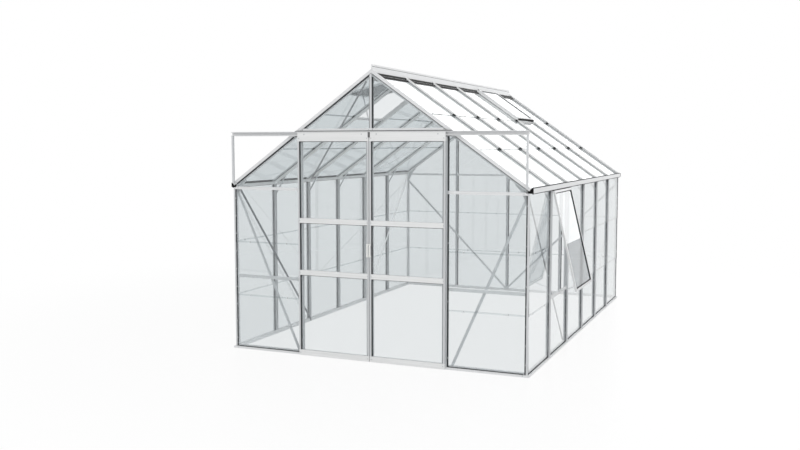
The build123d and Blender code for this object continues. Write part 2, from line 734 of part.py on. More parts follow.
def vents_and_window():
    vent_frame, vent_pane = sash(VENT_LEN)
    window_frame, window_pane = sash(WINDOW_LEN)
    hinge_out = CAP_OUT + SASH_SEAT
    vent_run = roof_run(VENT_HINGE_X)
    vent_open = radians(VENT_OPEN_DEG)
    window_open = radians(WINDOW_OPEN_DEG)

    def place_vent(shape, bay, turn):
        hinge = Pos(BAY * (bay - 0.5), vent_run, hinge_out)
        return on(SLOPE, hinge * Rot(-degrees(turn), 0, 0) * shape)

    def place_window(shape):
        hinge = Pos(BAY * (WINDOW_BAY - 0.5), WINDOW_HINGE_Z, hinge_out)
        return on(RIGHT, hinge * Rot(-degrees(window_open), 0, 0) * shape)

    frames = [
        across(place_vent(vent_frame, LEFT_VENT_BAY, vent_open)),
        place_vent(vent_frame, RIGHT_VENT_BAY, 0),
    ]
    panes = [
        across(place_vent(vent_pane, LEFT_VENT_BAY, vent_open)),
        place_vent(vent_pane, RIGHT_VENT_BAY, 0),
    ]
    save("roof_vent_frames", frames)
    save("side_window_frame", [place_window(window_frame)])
    save("vent_and_window_panes", panes + [place_window(window_pane)])

    vent_sill = on(SLOPE, cross_bar(VENT_SILL_TOP - VENT_SILL_H, VENT_SILL_TOP))
    window_sill = on(RIGHT, cross_bar(WINDOW_SILL_Z, WINDOW_SILL_Z + WINDOW_SILL_H))
    head = on(RIGHT, cross_bar(GUTTER_Z - WINDOW_HEAD_H, GUTTER_Z))
    sill_bars = [
        across(Pos(0, BAY * (LEFT_VENT_BAY - 1), 0) * vent_sill),
        Pos(0, BAY * (RIGHT_VENT_BAY - 1), 0) * vent_sill,
        Pos(0, BAY * (WINDOW_BAY - 1), 0) * window_sill,
        Pos(0, BAY * (WINDOW_BAY - 1), 0) * head,
    ]
    save("vent_and_window_sills", sill_bars)

    seat_out = CROSS_BAR_OUT + REST_PLAY
    vent_seat = (VENT_SILL_TOP - 2 * STAY_T, seat_out)
    vent_stay_run = VENT_LEN - SASH_BAR + STAY_T
    vent_points = stay((vent_run, hinge_out), vent_stay_run, vent_open, vent_seat)
    window_seat = (WINDOW_SILL_Z + WINDOW_SILL_H - STAY_T, seat_out)
    window_stay_run = WINDOW_LEN - SASH_BAR + STAY_T
    window_points = stay((WINDOW_HINGE_Z, hinge_out), window_stay_run, window_open, window_seat)

    def stay_plate(points, bay):
        side = extrude(Plane.YZ * outline(points), amount=STAY_W)
        return side.translate((BAY * (bay - 0.5) - STAY_W / 2, 0, 0))

    vent_stay = across(on(SLOPE, stay_plate(vent_points, LEFT_VENT_BAY)))
    window_stay = on(RIGHT, stay_plate(window_points, WINDOW_BAY))
    save("vent_and_window_stays", [vent_stay, window_stay])


# Door leaves, drawn for the right-hand leaf with its meeting edge at x = 0
def door_stile():
    """Stile: a raised face at the leaf's edge and a ledge that carries the glass, drawn as (along, out)."""
    face = rect(0, STILE_FACE, LEAF_BACK, LEAF_FRONT)
    ledge = rect(0, STILE_W, LEAF_BACK, DOOR_GLASS_OUT)
    return face + ledge


def door_rails():
    """Bottom rail, two middle rails and the top rail with its hanger strip."""
    low_section = rect(LEAF_LOW_Z, BOTTOM_RAIL_WEB_Z, LEAF_BACK, LEAF_FRONT)
    low_section += rect(LEAF_LOW_Z, BOTTOM_RAIL_TOP_Z, LEAF_BACK, DOOR_GLASS_OUT)
    low_section += rect(LEAF_LOW_Z, BOTTOM_RAIL_TOP_Z, DOOR_BAND_OUT, LEAF_FRONT)
    rails = [level(low_section, 0, LEAF_W)]

    for low, high in MID_BANDS:
        middle = (low + high) / 2
        front = rect(low, high, DOOR_BAND_OUT, LEAF_FRONT)
        web = rect(middle - BAND_WEB / 2, middle + BAND_WEB / 2, DOOR_GLASS_OUT, DOOR_BAND_OUT)
        rail = level(front + web, STILE_FACE, LEAF_W - STILE_FACE)
        back = rect(low, high, LEAF_BACK, DOOR_GLASS_OUT)
        rails.append(rail + level(back, STILE_W, LEAF_W - STILE_W))

    body_top = TRACK_Z - TRACK_CLEAR
    top_section = rect(body_top - TOP_RAIL_WEB_H, body_top, LEAF_BACK, LEAF_FRONT)
    top_section += rect(TOP_RAIL_Z, body_top, LEAF_BACK, DOOR_GLASS_OUT)
    top_section += rect(TOP_RAIL_Z, body_top, DOOR_BAND_OUT, LEAF_FRONT)
    top_section += rect(body_top - TOP_RAIL_WEB_H, LEAF_TOP_Z, LEAF_FRONT - HANGER_T, LEAF_FRONT)
    rails.append(level(top_section, 0, LEAF_W))
    return rails


def door_panes():
    """Three panes between the rails' webs, standing on them and lying on the ledges."""
    webs = [((low + high - BAND_WEB) / 2, (low + high + BAND_WEB) / 2) for low, high in MID_BANDS]
    starts = [BOTTOM_RAIL_WEB_Z] + [high for low, high in webs]
    ends = [low for low, high in webs] + [TRACK_Z - TRACK_CLEAR - TOP_RAIL_WEB_H]
    edge = STILE_FACE + EDGE_PLAY
    panes = []
    for low, high in zip(starts, ends):
        panes.append(
            block(
                edge,
                LEAF_W - edge,
                low + REST_PLAY,
                high - EDGE_PLAY,
                DOOR_GLASS_OUT + SEAT_PLAY,
                DOOR_GLASS_OUT + SEAT_PLAY + GLASS_T,
            )
        )
    return panes


def door_roller():
    """Grooved wheel on its axle, standing out of the back of the hanger strip."""
    wheel_back = GABLE_CAP_OUT + (TRACK_D - ROLLER_W) / 2
    wheel_front = wheel_back + ROLLER_W
    middle = (wheel_back + wheel_front) / 2
    groove_half = ROLLER_W / 4
    hanger_back = LEAF_FRONT - HANGER_T
    half_profile = (
        (0, wheel_back),
        (ROLLER_R, wheel_back),
        (ROLLER_R, middle - groove_half),
        (ROLLER_R - ROLLER_GROOVE, middle),
        (ROLLER_R, middle + groove_half),
        (ROLLER_R, wheel_front),
        (AXLE_R, wheel_front),
        (AXLE_R, hanger_back),
        (0, hanger_back),
    )
    wheel = revolve(Plane.XZ * outline(half_profile), axis=Axis.Z)
    return wheel.translate((0, TRACK_Z + TRACK_WALL + REST_PLAY + ROLLER_R, 0))


def door_handle():
    """Bow handle on the meeting stile's face, with a foot at each end and a rounded grip."""
    low, high = HANDLE_Z, HANDLE_Z + HANDLE_H
    start = (STILE_FACE - HANDLE_W) / 2
    front = LEAF_FRONT + HANDLE_D
    body = block(start, start + HANDLE_W, low, high, LEAF_FRONT, front)
    finger = block(
        start,
        start + HANDLE_W,
        low + HANDLE_FOOT,
        high - HANDLE_FOOT,
        LEAF_FRONT,
        front - HANDLE_GRIP_T,
    )
    bow = body - finger
    grip_edges = bow.edges().group_by(Axis.Z)[-1]
    return fillet(grip_edges, HANDLE_R)


def doors():
    stile = upright(door_stile(), BOTTOM_RAIL_TOP_Z, TOP_RAIL_Z)
    far_stile = mirror(stile, about=Plane.YZ).translate((LEAF_W, 0, 0))
    roller = door_roller()
    nodes = {
        "stiles": [stile, far_stile],
        "rails": door_rails(),
        "glass": door_panes(),
        "rollers": [Pos(x, 0, 0) * roller for x in (ROLLER_INSET, LEAF_W - ROLLER_INSET)],
        "handle": [door_handle()],
    }
    for name, shapes in nodes.items():
        right = [on(FRONT, Pos(LEAF_GAP / 2, 0, 0) * shape) for shape in shapes]
        save(f"right_door_{name}", right)
        save(f"left_door_{name}", [across(shape) for shape in right])


os.makedirs("parts", exist_ok=True)
sills()
corner_posts()
wall_bars()
gable_posts()
gutters()
roof_bars()
ridge_bar()
gable_rails()
header_and_track()
gable_braces()
side_braces()
knee_braces()
gussets()
side_glass()
roof_glass()
gable_glass()
vents_and_window()
doors()
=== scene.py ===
"""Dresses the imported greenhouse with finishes, glazing seals, clips and fixings, and sets up the studio."""

import json
import logging
from collections.abc import Iterable, Mapping, Sequence
from dataclasses import dataclass
from enum import Enum
from math import atan2, cos, pi, sin, tan

import bmesh
import bpy
import numpy as np
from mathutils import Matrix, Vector

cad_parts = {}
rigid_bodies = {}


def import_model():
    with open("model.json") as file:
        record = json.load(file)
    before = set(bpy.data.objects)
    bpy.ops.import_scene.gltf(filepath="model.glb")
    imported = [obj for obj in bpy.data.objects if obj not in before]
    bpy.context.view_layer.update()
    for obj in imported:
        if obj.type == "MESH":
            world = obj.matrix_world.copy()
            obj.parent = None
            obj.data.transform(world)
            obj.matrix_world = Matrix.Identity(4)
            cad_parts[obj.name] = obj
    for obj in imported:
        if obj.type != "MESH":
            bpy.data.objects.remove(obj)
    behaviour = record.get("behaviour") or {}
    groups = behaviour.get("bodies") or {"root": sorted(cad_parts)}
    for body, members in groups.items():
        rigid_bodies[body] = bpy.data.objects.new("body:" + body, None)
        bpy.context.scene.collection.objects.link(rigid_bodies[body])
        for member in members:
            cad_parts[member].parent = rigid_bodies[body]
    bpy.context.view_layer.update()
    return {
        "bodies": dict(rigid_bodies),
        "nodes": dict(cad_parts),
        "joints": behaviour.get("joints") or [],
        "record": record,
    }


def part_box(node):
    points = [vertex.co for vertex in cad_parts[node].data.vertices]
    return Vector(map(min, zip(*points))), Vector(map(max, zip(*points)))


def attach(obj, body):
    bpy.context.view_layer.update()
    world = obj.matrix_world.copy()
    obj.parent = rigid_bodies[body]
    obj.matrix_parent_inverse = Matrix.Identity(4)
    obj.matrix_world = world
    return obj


LOG = logging.getLogger("greenhouse")
OUTPUT = "Material Output"
MM = 0.001
Array = np.ndarray
Pair = tuple[float, float]
Point = tuple[float, float, float]
Colour = tuple[float, float, float, float]
Stops = tuple[tuple[float, Colour], ...]
Value = float | tuple[float, ...] | bpy.types.NodeSocket | bpy.types.Node

# Unit vectors of the frame that all pieces share
AXIS_X, AXIS_Y, AXIS_Z = np.eye(3)

# Sizes that the seals and clips share with the frame's bars, in metres
CAP_OUT = 27 * MM
CAP_FOOT = 15 * MM
GABLE_CAP_OUT = 24 * MM
CAP_HALF = 11 * MM
GABLE_CAP_HALF = 8.5 * MM
RIB_HALF = 2.5 * MM
GLASS_T = 3 * MM
GLASS_REST = 6.05 * MM
GLASS_STEP = 3.4 * MM
LAP = 12 * MM
SILL_LEDGE = 17 * MM
EDGE_PLAY = 2 * MM
LEAF_FRONT = 58 * MM

# Angle of a roof bar from upright, in radians
SLOPE_TURN = 0.957

# Gaps that keep new pieces off the solids: under caps and brushes, under seals, and beside an edge
FACE_GAP = 0.05 * MM
SEAL_GAP = 0.2 * MM
EDGE_GAP = 0.3 * MM


# Finishes
def linear(code: str, shade: float = 1.0) -> Colour:
    """Turn an sRGB hex colour into linear RGBA.

    Args:
        code: Six hex digits, such as "D8DADB".
        shade: Factor on the linear colour.

    Returns:
        Linear red, green, blue and an alpha of 1.
    """
    srgb = np.array([int(code[i : i + 2], 16) for i in (0, 2, 4)]) / 255
    rgb = np.where(srgb <= 0.04045, srgb / 12.92, ((srgb + 0.055) / 1.055) ** 2.4)
    return (*np.clip(rgb * shade, 0, 1).tolist(), 1.0)


def feed(node: bpy.types.Node, inputs: Mapping[str | int, Value]) -> None:
    """Set a node's constants and links.

    Args:
        node: Node that is fed.
        inputs: Input name or number, with a constant, an output socket, or a node for its first output.
    """
    for key, value in inputs.items():
        if isinstance(value, bpy.types.Node):
            value = value.outputs[0]
        if isinstance(value, bpy.types.NodeSocket):
            node.id_data.links.new(value, node.inputs[key])
        else:
            node.inputs[key].default_value = value


def add_node(
    tree: bpy.types.NodeTree,
    kind: str,
    inputs: Mapping[str | int, Value] | None = None,
    stops: Stops = (),
    **settings: object,
) -> bpy.types.Node:
    """Add a node with its settings, constants and links.

    Args:
        tree: Node tree that takes the node.
        kind: Blender's type name of the node, without ShaderNode at its start.
        inputs: What feeds its inputs.
        stops: Position and linear colour of each stop, where it is a colour ramp.
        **settings: Attributes of the node itself.

    Returns:
        The new node.
    """
    node = tree.nodes.new("ShaderNode" + kind)
    for key, value in settings.items():
        setattr(node, key, value)
    if stops:
        for element, (position, colour) in zip(node.color_ramp.elements, stops):
            element.position = position
            element.color = colour
    feed(node, inputs or {})
    return node


class Run(Enum):
    """Direction in which a bar was drawn through its die, as the turn that lays it along Z."""

    UP = (0.0, 0.0, 0.0)
    ACROSS = (0.0, pi / 2, 0.0)
    ALONG = (pi / 2, 0.0, 0.0)
    RIGHT_SLOPE = (0.0, SLOPE_TURN, 0.0)
    LEFT_SLOPE = (0.0, -SLOPE_TURN, 0.0)


@dataclass(frozen=True)
class Finish:
    """A surface: its name, its colour and how it takes the light."""

    name: str
    colour: str
    roughness: float = 0.5
    metallic: float = 0.0
    specular: float = 0.5

    def start(self, suffix: str = "") -> tuple[bpy.types.Material, bpy.types.NodeTree, bpy.types.Node]:
        """Make a material with only its shader.

        Args:
            suffix: Ending of the material's name.

        Returns:
            The material, its node tree and its Principled node.
        """
        material = bpy.data.materials.new(self.name + suffix)
        material.use_nodes = True
        tree = material.node_tree
        tree.nodes.clear()
        values = {
            "Base Color": linear(self.colour),
            "Roughness": self.roughness,
            "Metallic": self.metallic,
            "Specular IOR Level": self.specular,
        }
        shader = add_node(tree, "BsdfPrincipled", values)
        add_node(tree, "OutputMaterial", {"Surface": shader}, name=OUTPUT)
        return material, tree, shader

    def tones(self, contrast: float) -> Stops:
        """Ramp stops that make the colour darker and lighter by a share."""
        return (0.3, linear(self.colour, 1 - contrast)), (0.7, linear(self.colour, 1 + contrast))


@dataclass(frozen=True)
class ExtrudedAluminium(Finish):
    """Mill aluminium from a die: pale and satin, with faint drawn lines along the bar.

    The real lines are closer together. They are drawn this far apart so that they show.
    """

    line_mm: float = 6.0
    stretch: float = 60.0
    contrast: float = 0.05
    polish: float = 0.06
    relief: float = 0.08
    depth_mm: float = 0.2

    def material(self, run: Run) -> bpy.types.Material:
        """Build the finish with its lines along one direction.

        Args:
            run: Direction of the bar.

        Returns:
            The material.
        """
        material, tree, shader = self.start("_" + run.name.lower())
        place = add_node(tree, "TexCoord").outputs["Object"]
        turn = add_node(tree, "Mapping", {"Vector": place, "Rotation": run.value})
        drawn = add_node(tree, "Mapping", {"Vector": turn, "Scale": (1.0, 1.0, 1.0 / self.stretch)})
        pattern = {"Vector": drawn, "Scale": 1 / (self.line_mm * MM), "Detail": 3.0}
        lines = add_node(tree, "TexNoise", pattern)
        polish = {"To Min": self.roughness - self.polish, "To Max": self.roughness + self.polish}
        relief = {"Height": lines, "Strength": self.relief, "Distance": self.depth_mm * MM}
        surface = {
            "Base Color": add_node(tree, "ValToRGB", {"Fac": lines}, self.tones(self.contrast)),
            "Roughness": add_node(tree, "MapRange", {"Value": lines, **polish}),
            "Normal": add_node(tree, "Bump", relief),
        }
        feed(shader, surface)
        return material


@dataclass(frozen=True)
class FloatGlass(Finish):
    """Clear float glass: clean faces, and cut edges that look dark and greenish."""

    edge: str = "55625E"
    lamp_tint: str = "FAFBFB"
    ior: float = 1.52
    face_share: float = 0.7

    def material(self, facing: str, axis: Point) -> bpy.types.Material:
        """Build the glass of panes that face one way, with lamps shining straight through it.

        Args:
            facing: Word for the direction, used in the name.
            axis: Unit vector along which the panes' faces look, which tells them from cut edges.

        Returns:
            The material.
        """
        material, tree, shader = self.start("_" + facing)
        normal = add_node(tree, "NewGeometry").outputs["True Normal"]
        turn = add_node(tree, "VectorMath", {0: normal, 1: axis}, operation="DOT_PRODUCT").outputs["Value"]
        share = add_node(tree, "Math", {0: turn}, operation="ABSOLUTE")
        stops = ((0.0, linear(self.edge)), (self.face_share, linear(self.colour)))
        tint = add_node(tree, "ValToRGB", {"Fac": share}, stops)
        tint.color_ramp.interpolation = "CONSTANT"
        feed(shader, {"Base Color": tint, "IOR": self.ior})
        self.clear(tree, shader)
        return material

    def clear(self, tree: bpy.types.NodeTree, shader: bpy.types.Node) -> None:
        """Make a shader transparent, and let lamps shine straight through: shadow rays meet a faint tint.

        Args:
            tree: Node tree of the glass.
            shader: Its Principled node.
        """
        feed(shader, {"Transmission Weight": 1.0})
        shadow = add_node(tree, "LightPath").outputs["Is Shadow Ray"]
        passing = add_node(tree, "BsdfTransparent", {"Color": linear(self.lamp_tint)})
        mixed = add_node(tree, "MixShader", {0: shadow, 1: shader, 2: passing})
        feed(tree.nodes[OUTPUT], {"Surface": mixed})


@dataclass(frozen=True)
class SashGlass(FloatGlass):
    """Grey glass of the window and the right vent; the left vent's pane is darker, a painted shade, and dull
    from its low IOR.
    """

    left_vent_shade: str = "5E6366"
    left_vent_shade_ior: float = 1.05

    def sash_material(self) -> bpy.types.Material:
        """Build the glass, which takes the darker painted shade and the low IOR left of the house's middle,
        where only the left vent is.

        Returns:
            The material.
        """
        material, tree, shader = self.start("_sash")
        place = add_node(tree, "TexCoord").outputs["Object"]
        across = add_node(tree, "SeparateXYZ", {0: place}).outputs["X"]
        left = add_node(tree, "Math", {0: across, 1: 0.0}, operation="LESS_THAN")
        # The left vent's darker colour is painted shade
        stops = ((0.0, linear(self.colour)), (1.0, linear(self.left_vent_shade)))
        tint = add_node(tree, "ValToRGB", {"Fac": left}, stops)
        bend = add_node(tree, "MapRange", {"Value": left, "To Min": self.ior, "To Max": self.left_vent_shade_ior})
        feed(shader, {"Base Color": tint, "IOR": bend})
        self.clear(tree, shader)
        return material


@dataclass(frozen=True)
class ZincStrip(Finish):
    """Flat zinc-plated strip: dark on the front braces, a painted shade, and light towards the back, a
    painted light.
    """

    painted_light_colour: str = "FAFBFB"
    shade_to_light_y: Pair = (1.7, 2.0)
    spangle_mm: float = 9.0
    mottle: float = 0.10
    relief: float = 0.1
    depth_mm: float = 0.2

    def material(self) -> bpy.types.Material:
        """Build the finish: a tone along the house from painted shade to painted light, mottled by the zinc's
        spangle.

        Returns:
            The material.
        """
        material, tree, shader = self.start()
        place = add_node(tree, "TexCoord").outputs["Object"]
        along = add_node(tree, "SeparateXYZ", {0: place}).outputs["Y"]
        # Along the house the colour turns from the front braces' painted shade to the back braces' painted
        # light
        start, end = self.shade_to_light_y
        back = add_node(tree, "MapRange", {"Value": along, "From Min": start, "From Max": end})
        stops = ((0.0, linear(self.colour)), (1.0, linear(self.painted_light_colour)))
        tone = add_node(tree, "ValToRGB", {"Fac": back}, stops)
        spangle = add_node(tree, "TexVoronoi", {"Vector": place, "Scale": 1 / (self.spangle_mm * MM)})
        mottle = {"Value": spangle, "To Min": 1 - self.mottle, "To Max": 1 + self.mottle}
        shade = add_node(tree, "MapRange", mottle)
        relief = {"Height": spangle, "Strength": self.relief, "Distance": self.depth_mm * MM}
        surface = {
            "Base Color": add_node(tree, "VectorMath", {0: tone, 1: shade}, operation="MULTIPLY"),
            "Normal": add_node(tree, "Bump", relief),
        }
        feed(shader, surface)
        return material


@dataclass(frozen=True)
class Moulded(Finish):
    """Moulded rubber or plastic, or pressed steel: an even colour with a grain from the tool.

    The real grain is finer. It is drawn this coarse so that it shows.
    """

    grain_mm: float = 1.5
    contrast: float = 0.12
    relief: float = 0.15
    depth_mm: float = 0.1

    def material(self) -> bpy.types.Material:
        """Build the finish with its grain in tone and bump.

        Returns:
            The material.
        """
        material, tree, shader = self.start()
        place = add_node(tree, "TexCoord").outputs["Object"]
        pattern = {"Vector": place, "Scale": 1 / (self.grain_mm * MM), "Detail": 2.0}
        grain = add_node(tree, "TexNoise", pattern)
        relief = {"Height": grain, "Strength": self.relief, "Distance": self.depth_mm * MM}
        surface = {
            "Base Color": add_node(tree, "ValToRGB", {"Fac": grain}, self.tones(self.contrast)),
            "Normal": add_node(tree, "Bump", relief),
        }
        feed(shader, surface)
        return material


@dataclass
class Palette:
    """Every finish of the house, each made once; uprights and door stiles are greyer copies of the rails'
    aluminium, a painted shade on upright faces.
    """

    frame: ExtrudedAluminium = ExtrudedAluminium("mill_aluminium", "E6E7E8", 0.42, 0.2)
    # Greyer copy of the rails' aluminium: painted shade on upright faces
    upright: ExtrudedAluminium = ExtrudedAluminium("mill_aluminium", "D6D8DA", 0.42, 0.2)
    # Lighter, non-metal copy of the frame's aluminium: painted light on the roof bars' shaded undersides
    roof_bar: ExtrudedAluminium = ExtrudedAluminium("dull_aluminium_painted_light", "F7F8F8", 0.60, 0.0)
    door: ExtrudedAluminium = ExtrudedAluminium("anodised_aluminium", "ECEDED", 0.40, 0.2)
    # Greyer copy of the door rails' aluminium: painted shade on the stiles
    stile: ExtrudedAluminium = ExtrudedAluminium("anodised_aluminium", "D4D6D8", 0.40, 0.2)
    # The braces' dark grey is painted shade on the front braces; it turns to painted light towards the back
    brace: ZincStrip = ZincStrip("zinc_plated_steel", "85888B", 0.35, 0.9)
    glass: FloatGlass = FloatGlass("float_glass", "E8EBEC", 0.0)
    # Darker than the other panes: painted shade on the left slope; its low IOR makes it reflect little
    dull_shaded_glass: FloatGlass = FloatGlass("dull_shaded_float_glass", "DADFE1", 0.0, ior=1.12)
    sash_glass: SashGlass = SashGlass("grey_glass", "ACB1B4", 0.0)
    # This black rubber also makes strips that are painted shadow: under the rafters, the gutters and the
    # header, in the ridge's grooves, under the door rails, and the gable seals' linings of the caps' sides
    rubber: Moulded = Moulded("glazing_rubber", "47494B", 0.70, specular=0.12)
    roof_rubber: Moulded = Moulded("grey_glazing_rubber", "A4A6A8", 0.70, specular=0.12)
    # This black also makes the ridge's fillet, a painted shadow
    plastic: Moulded = Moulded("black_polypropylene", "121213", 0.55, specular=0.12)
    white: Moulded = Moulded("white_polypropylene", "F1F1EF", 0.40, contrast=0.02)
    steel: Moulded = Moulded("spring_steel", "C4C6C8", 0.32, 1.0, grain_mm=2.0, contrast=0.08)

    def __post_init__(self) -> None:
        """Make the materials that nodes and new pieces share."""
        finishes = {
            Run.UP: self.upright,
            Run.ACROSS: self.frame,
            Run.ALONG: self.frame,
            Run.RIGHT_SLOPE: self.roof_bar,
            Run.LEFT_SLOPE: self.roof_bar,
        }
        self.frame_materials = {run: finish.material(run) for run, finish in finishes.items()}
        self.stile_shaded_material = self.stile.material(Run.UP)
        self.door_material = self.door.material(Run.ACROSS)
        self.brace_material = self.brace.material()
        self.rubber_material = self.rubber.material()
        self.roof_rubber_material = self.roof_rubber.material()
        self.plastic_material = self.plastic.material()
        self.white_material = self.white.material()
        self.steel_material = self.steel.material()


# Mesh surfaces
@dataclass
class Surface:
    """Vertices and faces of a mesh that is being put together."""

    vertices: Array
    faces: list[list[int]]


def joined(parts: Iterable[Surface]) -> Surface:
    """Put several surfaces into one.

    Args:
        parts: Surfaces in order.

    Returns:
        One surface that holds them all.
    """
    vertices: list[Array] = []
    faces: list[list[int]] = []
    count = 0
    for part in parts:
        vertices.append(part.vertices)
        faces += [[index + count for index in face] for face in part.faces]
        count += len(part.vertices)
    return Surface(np.concatenate(vertices), faces)


def skinned(rings: Array) -> Surface:
    """Close a skin over stacks of rings: quads between neighbouring rings, and a face on each end ring.

    Args:
        rings: Points with the shape (copies, rings, sides, 3).

    Returns:
        The closed surface of all copies.
    """
    copies, count, sides, _ = rings.shape
    index = np.arange(copies * count * sides).reshape(copies, count, sides)
    low, high = index[:, :-1], index[:, 1:]
    quads = np.stack((low, np.roll(low, -1, 2), np.roll(high, -1, 2), high), -1).reshape(-1, 4)
    ends = np.concatenate((index[:, 0, ::-1], index[:, -1]))
    return Surface(rings.reshape(-1, 3), quads.tolist() + ends.tolist())


def carried(profile: Array, paths: Array, first: Array, second: Array) -> Surface:
    """Carry a closed profile along many paths: point = path + profile x * first + profile y * second.

    Args:
        profile: Outline with the shape (sides, 2).
        paths: Points with the shape (copies, points, 3).
        first: Unit vector, or one for each path point, of the profile's x.
        second: The same for the profile's y.

    Returns:
        The closed surface of all copies.
    """
    along = profile[:, :1] * first[..., None, :]
    across = profile[:, 1:] * second[..., None, :]
    return skinned(paths[:, :, None, :] + along + across)


def turned(profile: Array, centres: Array, axis: Array, sides: int = 8) -> Surface:
    """Spin a profile round an axis: point = centre + r * (cos t * u + sin t * v) + h * axis.

    Args:
        profile: Radius r and height h of each ring, with the shape (rings, 2).
        centres: Places of the copies, with the shape (copies, 3).
        axis: Unit vector of the axis.
        sides: Number of points on a ring.

    Returns:
        The closed surface of all copies.
    """
    helper = np.eye(3)[np.argmin(np.abs(axis))]
    u = np.cross(axis, helper)
    u /= np.linalg.norm(u)
    v = np.cross(axis, u)
    angle = np.linspace(0, 2 * pi, sides, endpoint=False)
    spoke = np.cos(angle)[:, None] * u + np.sin(angle)[:, None] * v
    rings = profile[:, :1, None] * spoke + profile[:, 1:, None] * axis
    return skinned(centres[:, None, None, :] + rings[None])


def slabs(wall: "Wall", spans: Sequence[tuple[float, ...]]) -> Surface:
    """Make flat-sided strips that lie square in a wall's frame.

    Args:
        wall: Frame of the wall.
        spans: For each strip its two limits along the wall, up it and out of it.

    Returns:
        The closed surface of all strips.
    """
    a0, a1, u0, u1, o0, o1 = np.array(spans).T
    along = np.stack((a0, a1, a1, a0), -1)[:, None, :]
    up = np.stack((u0, u0, u1, u1), -1)[:, None, :]
    out = np.stack((o0, o1), -1)[:, :, None]
    return skinned(wall.at(along, up, out))


def make_piece(
    name: str,
    surface: Surface,
    material: bpy.types.Material,
    body: str = "frame",
) -> None:
    """Make a piece of the house from a surface.

    Args:
        name: Name of the piece.
        surface: Its vertices and faces, in metres.
        material: Its finish.
        body: Body that it moves with.
    """
    mesh = bpy.data.meshes.new(name)
    mesh.from_pydata(surface.vertices.tolist(), [], surface.faces)
    shell = bmesh.new()
    shell.from_mesh(mesh)
    bmesh.ops.recalc_face_normals(shell, faces=shell.faces)
    shell.to_mesh(mesh)
    shell.free()
    mesh.materials.append(material)
    piece = bpy.data.objects.new(name, mesh)
    bpy.context.scene.collection.objects.link(piece)
    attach(piece, body)
    LOG.info("%s: %d faces on %s", name, len(surface.faces), body)


# Places
@dataclass(frozen=True)
class Wall:
    """A glazed plane's own frame: an origin and unit vectors along it, up it and out of the house."""

    origin: Array
    along: Array
    up: Array
    out: Array

    def at(self, along: Array | float, up: Array | float, out: Array | float) -> Array:
        """Place points that are given along, up and out of the wall.

        Args:
            along: Distances along the wall.
            up: Distances up it.
            out: Distances out of it.

        Returns:
            Points in the house's frame, with the inputs' common shape and a last axis of 3.
        """
        a, u, o = np.broadcast_arrays(along, up, out)
        return self.origin + a[..., None] * self.along + u[..., None] * self.up + o[..., None] * self.out


@dataclass(frozen=True)
class House:
    """Main sizes of the frame, in metres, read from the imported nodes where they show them."""

    half_w: float
    length: float
    bay: float
    gutter_z: float
    ridge_z: float = 2.243
    eave_rise: float = 0.016
    roof_edge_out: float = 0.006
    bays_along: int = 6

    @classmethod
    def measured(cls) -> "House":
        """Read the sizes from the wall bars, the back posts and the gutter.

        Returns:
            The house as it was packed.
        """
        bars_low, bars_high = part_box("right_wall_bars")
        _, back_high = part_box("back_gable_posts")
        gutter_low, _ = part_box("right_gutter")
        between_bars = cls.bays_along - 2
        return cls(
            half_w=bars_high.x - CAP_OUT,
            length=back_high.y - GABLE_CAP_OUT,
            bay=(bars_high.y - bars_low.y - 2 * CAP_HALF) / between_bars,
            gutter_z=gutter_low.z,
        )

    @property
    def pitch(self) -> float:
        """Angle of the roof."""
        return atan2(self.ridge_z - self.gutter_z - self.eave_rise, self.half_w)

    @property
    def bar_places(self) -> Array:
        """Places of the bars along a side."""
        return self.bay * np.arange(1, self.bays_along)

    def roof_z(self, x: float) -> float:
        """Height of the roof plane at x."""
        return self.ridge_z - tan(self.pitch) * x

    def roof_run(self, x: float) -> float:
        """Distance up the slope from the lower edge of the roof glass to x."""
        return (self.half_w + self.roof_edge_out - x) / cos(self.pitch)

    def gable(self, back: bool) -> Wall:
        """Frame of the front or the back gable."""
        return Wall(AXIS_Y * (self.length if back else 0.0), AXIS_X, AXIS_Z, AXIS_Y if back else -AXIS_Y)

    def side(self, sign: int) -> Wall:
        """Frame of the right wall (sign 1) or the left wall (sign -1)."""
        return Wall(sign * self.half_w * AXIS_X, AXIS_Y, AXIS_Z, sign * AXIS_X)

    def slope(self, sign: int) -> Wall:
        """Frame of a slope, with its origin at the lower edge of the roof glass.

        Args:
            sign: 1 for the right slope, -1 for the left one.

        Returns:
            The frame: along the house, up the slope and out of the roof.
        """
        edge = self.half_w + self.roof_edge_out
        origin = np.array((sign * edge, 0.0, self.roof_z(edge)))
        up = np.array((-sign * cos(self.pitch), 0.0, sin(self.pitch)))
        out = np.array((sign * sin(self.pitch), 0.0, cos(self.pitch)))
        return Wall(origin, AXIS_Y, up, out)

    def verge(self, back: bool, sign: int) -> Wall:
        """Frame of a gable's sloping edge.

        Args:
            back: Whether it is on the back gable.
            sign: 1 for the right slope, -1 for the left one.

        Returns:
            The frame: along runs down from the ridge, and up is the slope's own normal.
        """
        gable, slope = self.gable(back), self.slope(sign)
        return Wall(gable.origin + self.ridge_z * AXIS_Z, -slope.up, slope.out, gable.out)


# Glazing
@dataclass(frozen=True)
class Row:
    """One lapped pane of a bay: its lower edge, its upper edge, and where the next pane covers it."""

    low: float
    high: float
    shown: float
    lean: float = GLASS_STEP

    def face(self, up: Array | float) -> Array | float:
        """Distance out of the pane's outer face: out = rest + lean * (1 - share up) + glass."""
        share = (np.asarray(up) - self.low) / (self.high - self.low)
        return GLASS_REST + self.lean * (1 - share) + GLASS_T


def lapped(low: float, laps: tuple[float, ...], high: float) -> tuple[Row, ...]:
    """Rows of a column of lapped panes.

    Args:
        low: Lower edge of the lowest pane.
        laps: Lower edges of the panes above it.
        high: Upper edge of the highest pane.

    Returns:
        The rows from the bottom.
    """
    ends = (*(edge + LAP for edge in laps), high)
    return tuple(Row(*edges) for edges in zip((low, *laps), ends, (*laps, high)))


